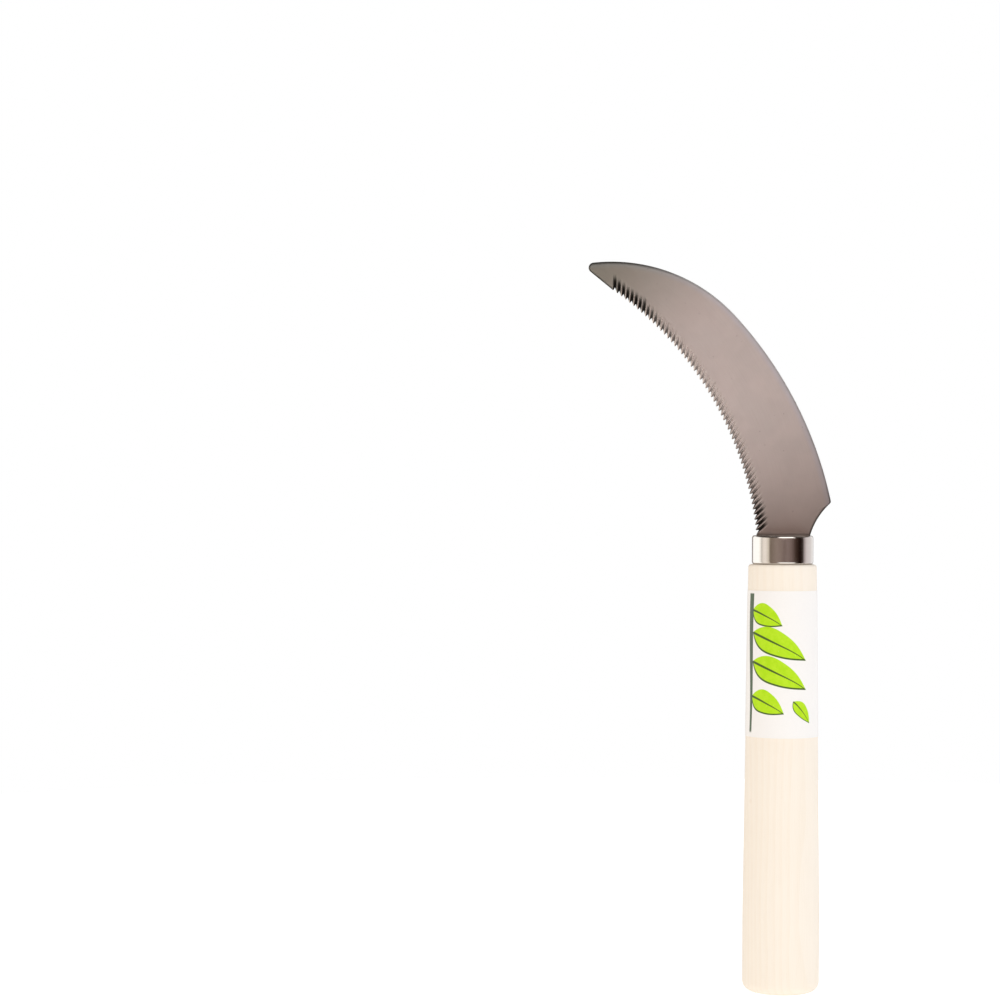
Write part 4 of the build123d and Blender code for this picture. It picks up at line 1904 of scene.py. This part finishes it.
@dataclass
class Studio:
    """Pale floor, soft light from all round and the camera.

    screens goes round from behind, over the left, the front and the right: the azimuth is 0 on the
    camera's side and grows towards +X.
    """

    look_at: tuple[float, float, float] = (-0.1089, 0.0, 0.1882)
    distance: float = 1.05
    roll_degrees: float = -0.3
    view_width: float = 0.385
    sensor: float = 36.0
    far_limit: float = 20.0
    floor_radius: float = 0.8
    floor_rings: int = 9
    floor_segments: int = 96
    floor_white: Colour = (0.5, 0.5, 0.5)
    floor_roughness: float = 0.9
    floor_specular: float = 0.1
    floor_glow: float = 0.72
    even_light: float = 0.82
    front_light: float = 0.40
    right_light: float = 0.10
    warm_side: Colour = (1.01, 0.96, 0.905)
    cool_side: Colour = (0.965, 1.02, 1.11)
    ceiling: Colour = (0.10, 0.085, 0.075)
    ceiling_rise: Span = (0.30, 0.5)
    box_light: Colour = (2.3, 2.15, 2.05)
    box_azimuth: float = 11.0
    box_half_width: Span = (26.0, 40.0)
    box_low: Span = (0.32, 0.42)
    box_high: Span = (0.72, 0.84)
    table_light: Colour = (1.5, 1.45, 1.38)
    table_rise: Span = (-0.32, -0.16)
    lamp_place: tuple[float, float, float] = (0.005, -0.45, 0.225)
    lamp_aim: tuple[float, float, float] = (-0.02, 0.0, 0.225)
    lamp_size: Span = (0.14, 0.06)
    lamp_colour: Colour = (1.0, 0.93, 0.90)
    lamp_watts: float = 0.012
    screens: tuple[Screen, ...] = (
        Screen(-180.0, (0.30, 0.26, 0.245)),
        Screen(-160.0, (0.34, 0.29, 0.27)),
        Screen(-150.0, (1.45, 1.45, 1.42)),
        Screen(-108.0, (1.60, 1.60, 1.56)),
        Screen(-98.0, (1.38, 1.32, 1.22)),
        Screen(-92.0, (0.78, 0.72, 0.66)),
        Screen(-84.0, (1.15, 1.05, 0.95)),
        Screen(-74.0, (1.22, 1.11, 1.01)),
        Screen(-60.0, (0.90, 0.80, 0.68)),
        Screen(-54.0, (0.26, 0.20, 0.155)),
        Screen(-28.0, (0.37, 0.285, 0.245)),
        Screen(-8.0, (0.31, 0.23, 0.20)),
        Screen(0.0, (0.245, 0.175, 0.155)),
        Screen(14.0, (0.30, 0.222, 0.20)),
        Screen(28.0, (0.235, 0.165, 0.15)),
        Screen(44.0, (0.075, 0.045, 0.035)),
        Screen(62.0, (0.012, 0.004, 0.003)),
        Screen(76.0, (0.05, 0.035, 0.03)),
        Screen(86.0, (0.60, 0.52, 0.52)),
        Screen(98.0, (0.92, 0.85, 0.85)),
        Screen(125.0, (1.0, 0.95, 0.95)),
        Screen(150.0, (1.2, 1.2, 1.2)),
        Screen(160.0, (0.34, 0.29, 0.27)),
        Screen(180.0, (0.30, 0.26, 0.245)),
    )

    def build(self) -> None:
        """Makes the floor, the surroundings, the lamp and the camera."""
        self._floor()
        self._surroundings()
        self._lamp()
        self._camera()
        bpy.context.scene.view_settings.view_transform = "Standard"

    def _floor(self) -> None:
        """Round pale floor that the butt stands on: (r cos a, r sin a, 0), clear from underneath."""
        radius = np.linspace(0.0, self.floor_radius, self.floor_rings)
        angle = np.arange(self.floor_segments) * 2 * math.pi / self.floor_segments
        x = radius[:, None] * np.cos(angle)
        y = radius[:, None] * np.sin(angle)
        vertices = np.stack([x, y, np.zeros_like(x)], axis=-1).reshape(-1, 3)
        faces = grid_quads(self.floor_rings, self.floor_segments, True)
        floor = make_piece("floor", vertices, faces, 30.0)
        if floor.data.polygons[0].normal.z < 0:
            floor.data.flip_normals()
        material, wire, shader = new_finish("floor_paper")
        for name, value in (("Base Color", self.floor_white), ("Roughness", self.floor_roughness),
                            ("Specular IOR Level", self.floor_specular),
                            ("Emission Color", (1.0, 1.0, 1.0)), ("Emission Strength", self.floor_glow)):
            wire.feed(shader.inputs[name], value)
        underneath = wire.add("NewGeometry").outputs["Backfacing"]
        clear = wire.add("BsdfTransparent").outputs[0]
        seen = wire.add("MixShader", {0: underneath, 1: shader.outputs[0], 2: clear}).outputs[0]
        wire.feed(material.node_tree.nodes["Material Output"].inputs["Surface"], seen)
        floor.data.materials.append(material)
        floor.visible_glossy = False

    def _surroundings(self) -> None:
        """White ground for the camera, even light for dull surfaces, a studio for shiny ones.

        Shiny surfaces see the screens all round, a dark ceiling, a soft box high in front and a
        pale table low in front.
        """
        world = bpy.data.worlds.new("studio")
        bpy.context.scene.world = world
        world.use_nodes = True
        world.cycles.sampling_method = "NONE"
        wire = Wiring(world.node_tree)
        ground = world.node_tree.nodes["Background"]
        x, y, z = wire.numbers(wire.add("TexCoord").outputs["Generated"])
        ahead = wire.times(y, -1.0)
        azimuth = wire.math("ARCTAN2", x, ahead)
        turn = wire.math("ADD", wire.math("DIVIDE", azimuth, 2 * math.pi), 0.5)
        colour = wire.blend(wire.ramp(z, *self.ceiling_rise), self._round_about(wire, turn), self.ceiling)
        aside = wire.math("ABSOLUTE", wire.math("SUBTRACT", azimuth, math.radians(self.box_azimuth)))
        wide = wire.ramp(aside, *(math.radians(width) for width in self.box_half_width), 1.0, 0.0)
        tall = wire.times(wire.ramp(z, *self.box_low), wire.ramp(z, *self.box_high, 1.0, 0.0))
        low = wire.ramp(z, *self.table_rise, 1.0, 0.0)
        colour = wire.blend(wire.times(wide, tall), colour, self.box_light)
        colour = wire.blend(wire.times(wide, low), colour, self.table_light)
        glow = wire.raised(self.even_light, wire.math("MAXIMUM", ahead, 0.0), self.front_light)
        glow = wire.raised(glow, x, self.right_light)
        sides = wire.blend(wire.ramp(x, -1.0, 1.0), self.warm_side, self.cool_side)
        even = wire.blend(1.0, wire.grey(glow), sides, "MULTIPLY")
        path = wire.add("LightPath")
        seen = wire.blend(path.outputs["Is Diffuse Ray"], colour, even)
        seen = wire.blend(path.outputs["Is Camera Ray"], seen, (1.0, 1.0, 1.0))
        wire.feed(ground.inputs["Color"], seen)

    def _round_about(self, wire: Wiring, turn: bpy.types.NodeSocket) -> bpy.types.NodeSocket:
        """Colour of the screens, blended from one to the next.

        Args:
            wire: the world's wiring.
            turn: share of a full turn, from 0 behind over the left and the front to 1 behind.

        Returns:
            The colour's socket.
        """
        node = wire.add("ValToRGB", {0: turn})
        stops = node.color_ramp.elements
        for stop, screen in zip(stops, (self.screens[0], self.screens[-1])):
            stop.color = (*screen.colour, 1.0)
        for screen in self.screens[1:-1]:
            stops.new(screen.azimuth / 360.0 + 0.5).color = (*screen.colour, 1.0)
        return node.outputs[0]

    def _lamp(self) -> None:
        """Small soft lamp above the camera's line, which only shiny surfaces pick up."""
        data = bpy.data.lights.new("lamp", "AREA")
        data.shape = "RECTANGLE"
        data.size, data.size_y = self.lamp_size
        data.energy = self.lamp_watts
        data.color = self.lamp_colour
        lamp = bpy.data.objects.new("lamp", data)
        lamp.location = self.lamp_place
        toward = Vector(self.lamp_aim) - Vector(self.lamp_place)
        lamp.rotation_euler = toward.to_track_quat("-Z", "Y").to_euler()
        lamp.visible_camera = False
        lamp.visible_diffuse = False
        bpy.context.scene.collection.objects.link(lamp)

    def _camera(self) -> None:
        """Level camera in front of the tool, held a touch off upright, its view as wide as asked."""
        data = bpy.data.cameras.new("camera")
        data.sensor_width = self.sensor
        data.lens = self.sensor * self.distance / self.view_width
        data.clip_end = self.far_limit
        camera = bpy.data.objects.new("camera", data)
        camera.location = Vector(self.look_at) - Vector((0.0, self.distance, 0.0))
        camera.rotation_euler = (math.radians(90.0), math.radians(self.roll_degrees), 0.0)
        bpy.context.scene.collection.objects.link(camera)
        bpy.context.scene.camera = camera


# ------------------------------------------------------------------------------- assembly


def corners(box: tuple) -> list[list[float]]:
    """A box's two corners as plain lists."""
    return [list(corner) for corner in box]


def report(piece: bpy.types.Object) -> None:
    """Logs a piece's name, triangles and box.

    Args:
        piece: the finished piece.
    """
    triangles = sum(len(face.vertices) - 2 for face in piece.data.polygons)
    log.info("%s: %d triangles, size %s mm", piece.name, triangles,
             [round(side / MM, 2) for side in piece.dimensions])


def main() -> None:
    logging.basicConfig(level=logging.INFO, format="%(message)s", stream=sys.stdout)
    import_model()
    Studio().build()
    effects = Effects()

    ferrule_low, ferrule_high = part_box("ferrule")
    blade_low, blade_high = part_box("blade")
    label_low, label_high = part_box("label")
    pin_low, pin_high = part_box("cross_pin")
    outline = BladeOutline(ledge=ferrule_low.z, rim=ferrule_high.z)
    thickness = blade_high.y - blade_low.y
    pin = TangPin(height=(pin_low.z + pin_high.z) / 2, radius=(pin_high.z - pin_low.z) / 2)
    handle = TurnedHandle(ferrule_low.z, ferrule_high.z, pin.height, pin.radius)

    report(ToothedBlade(thickness, outline, pin.height).build(effects))
    report(handle.build(effects, outline, thickness))
    report(Ferrule(foot=ferrule_low.z, rim=ferrule_high.z).build(effects))
    report(WrappedLabel(foot=label_low.z, top=label_high.z).build(effects, handle))
    report(pin.build(effects, handle))

    bpy.context.view_layer.update()


if __name__ == "__main__":
    main()
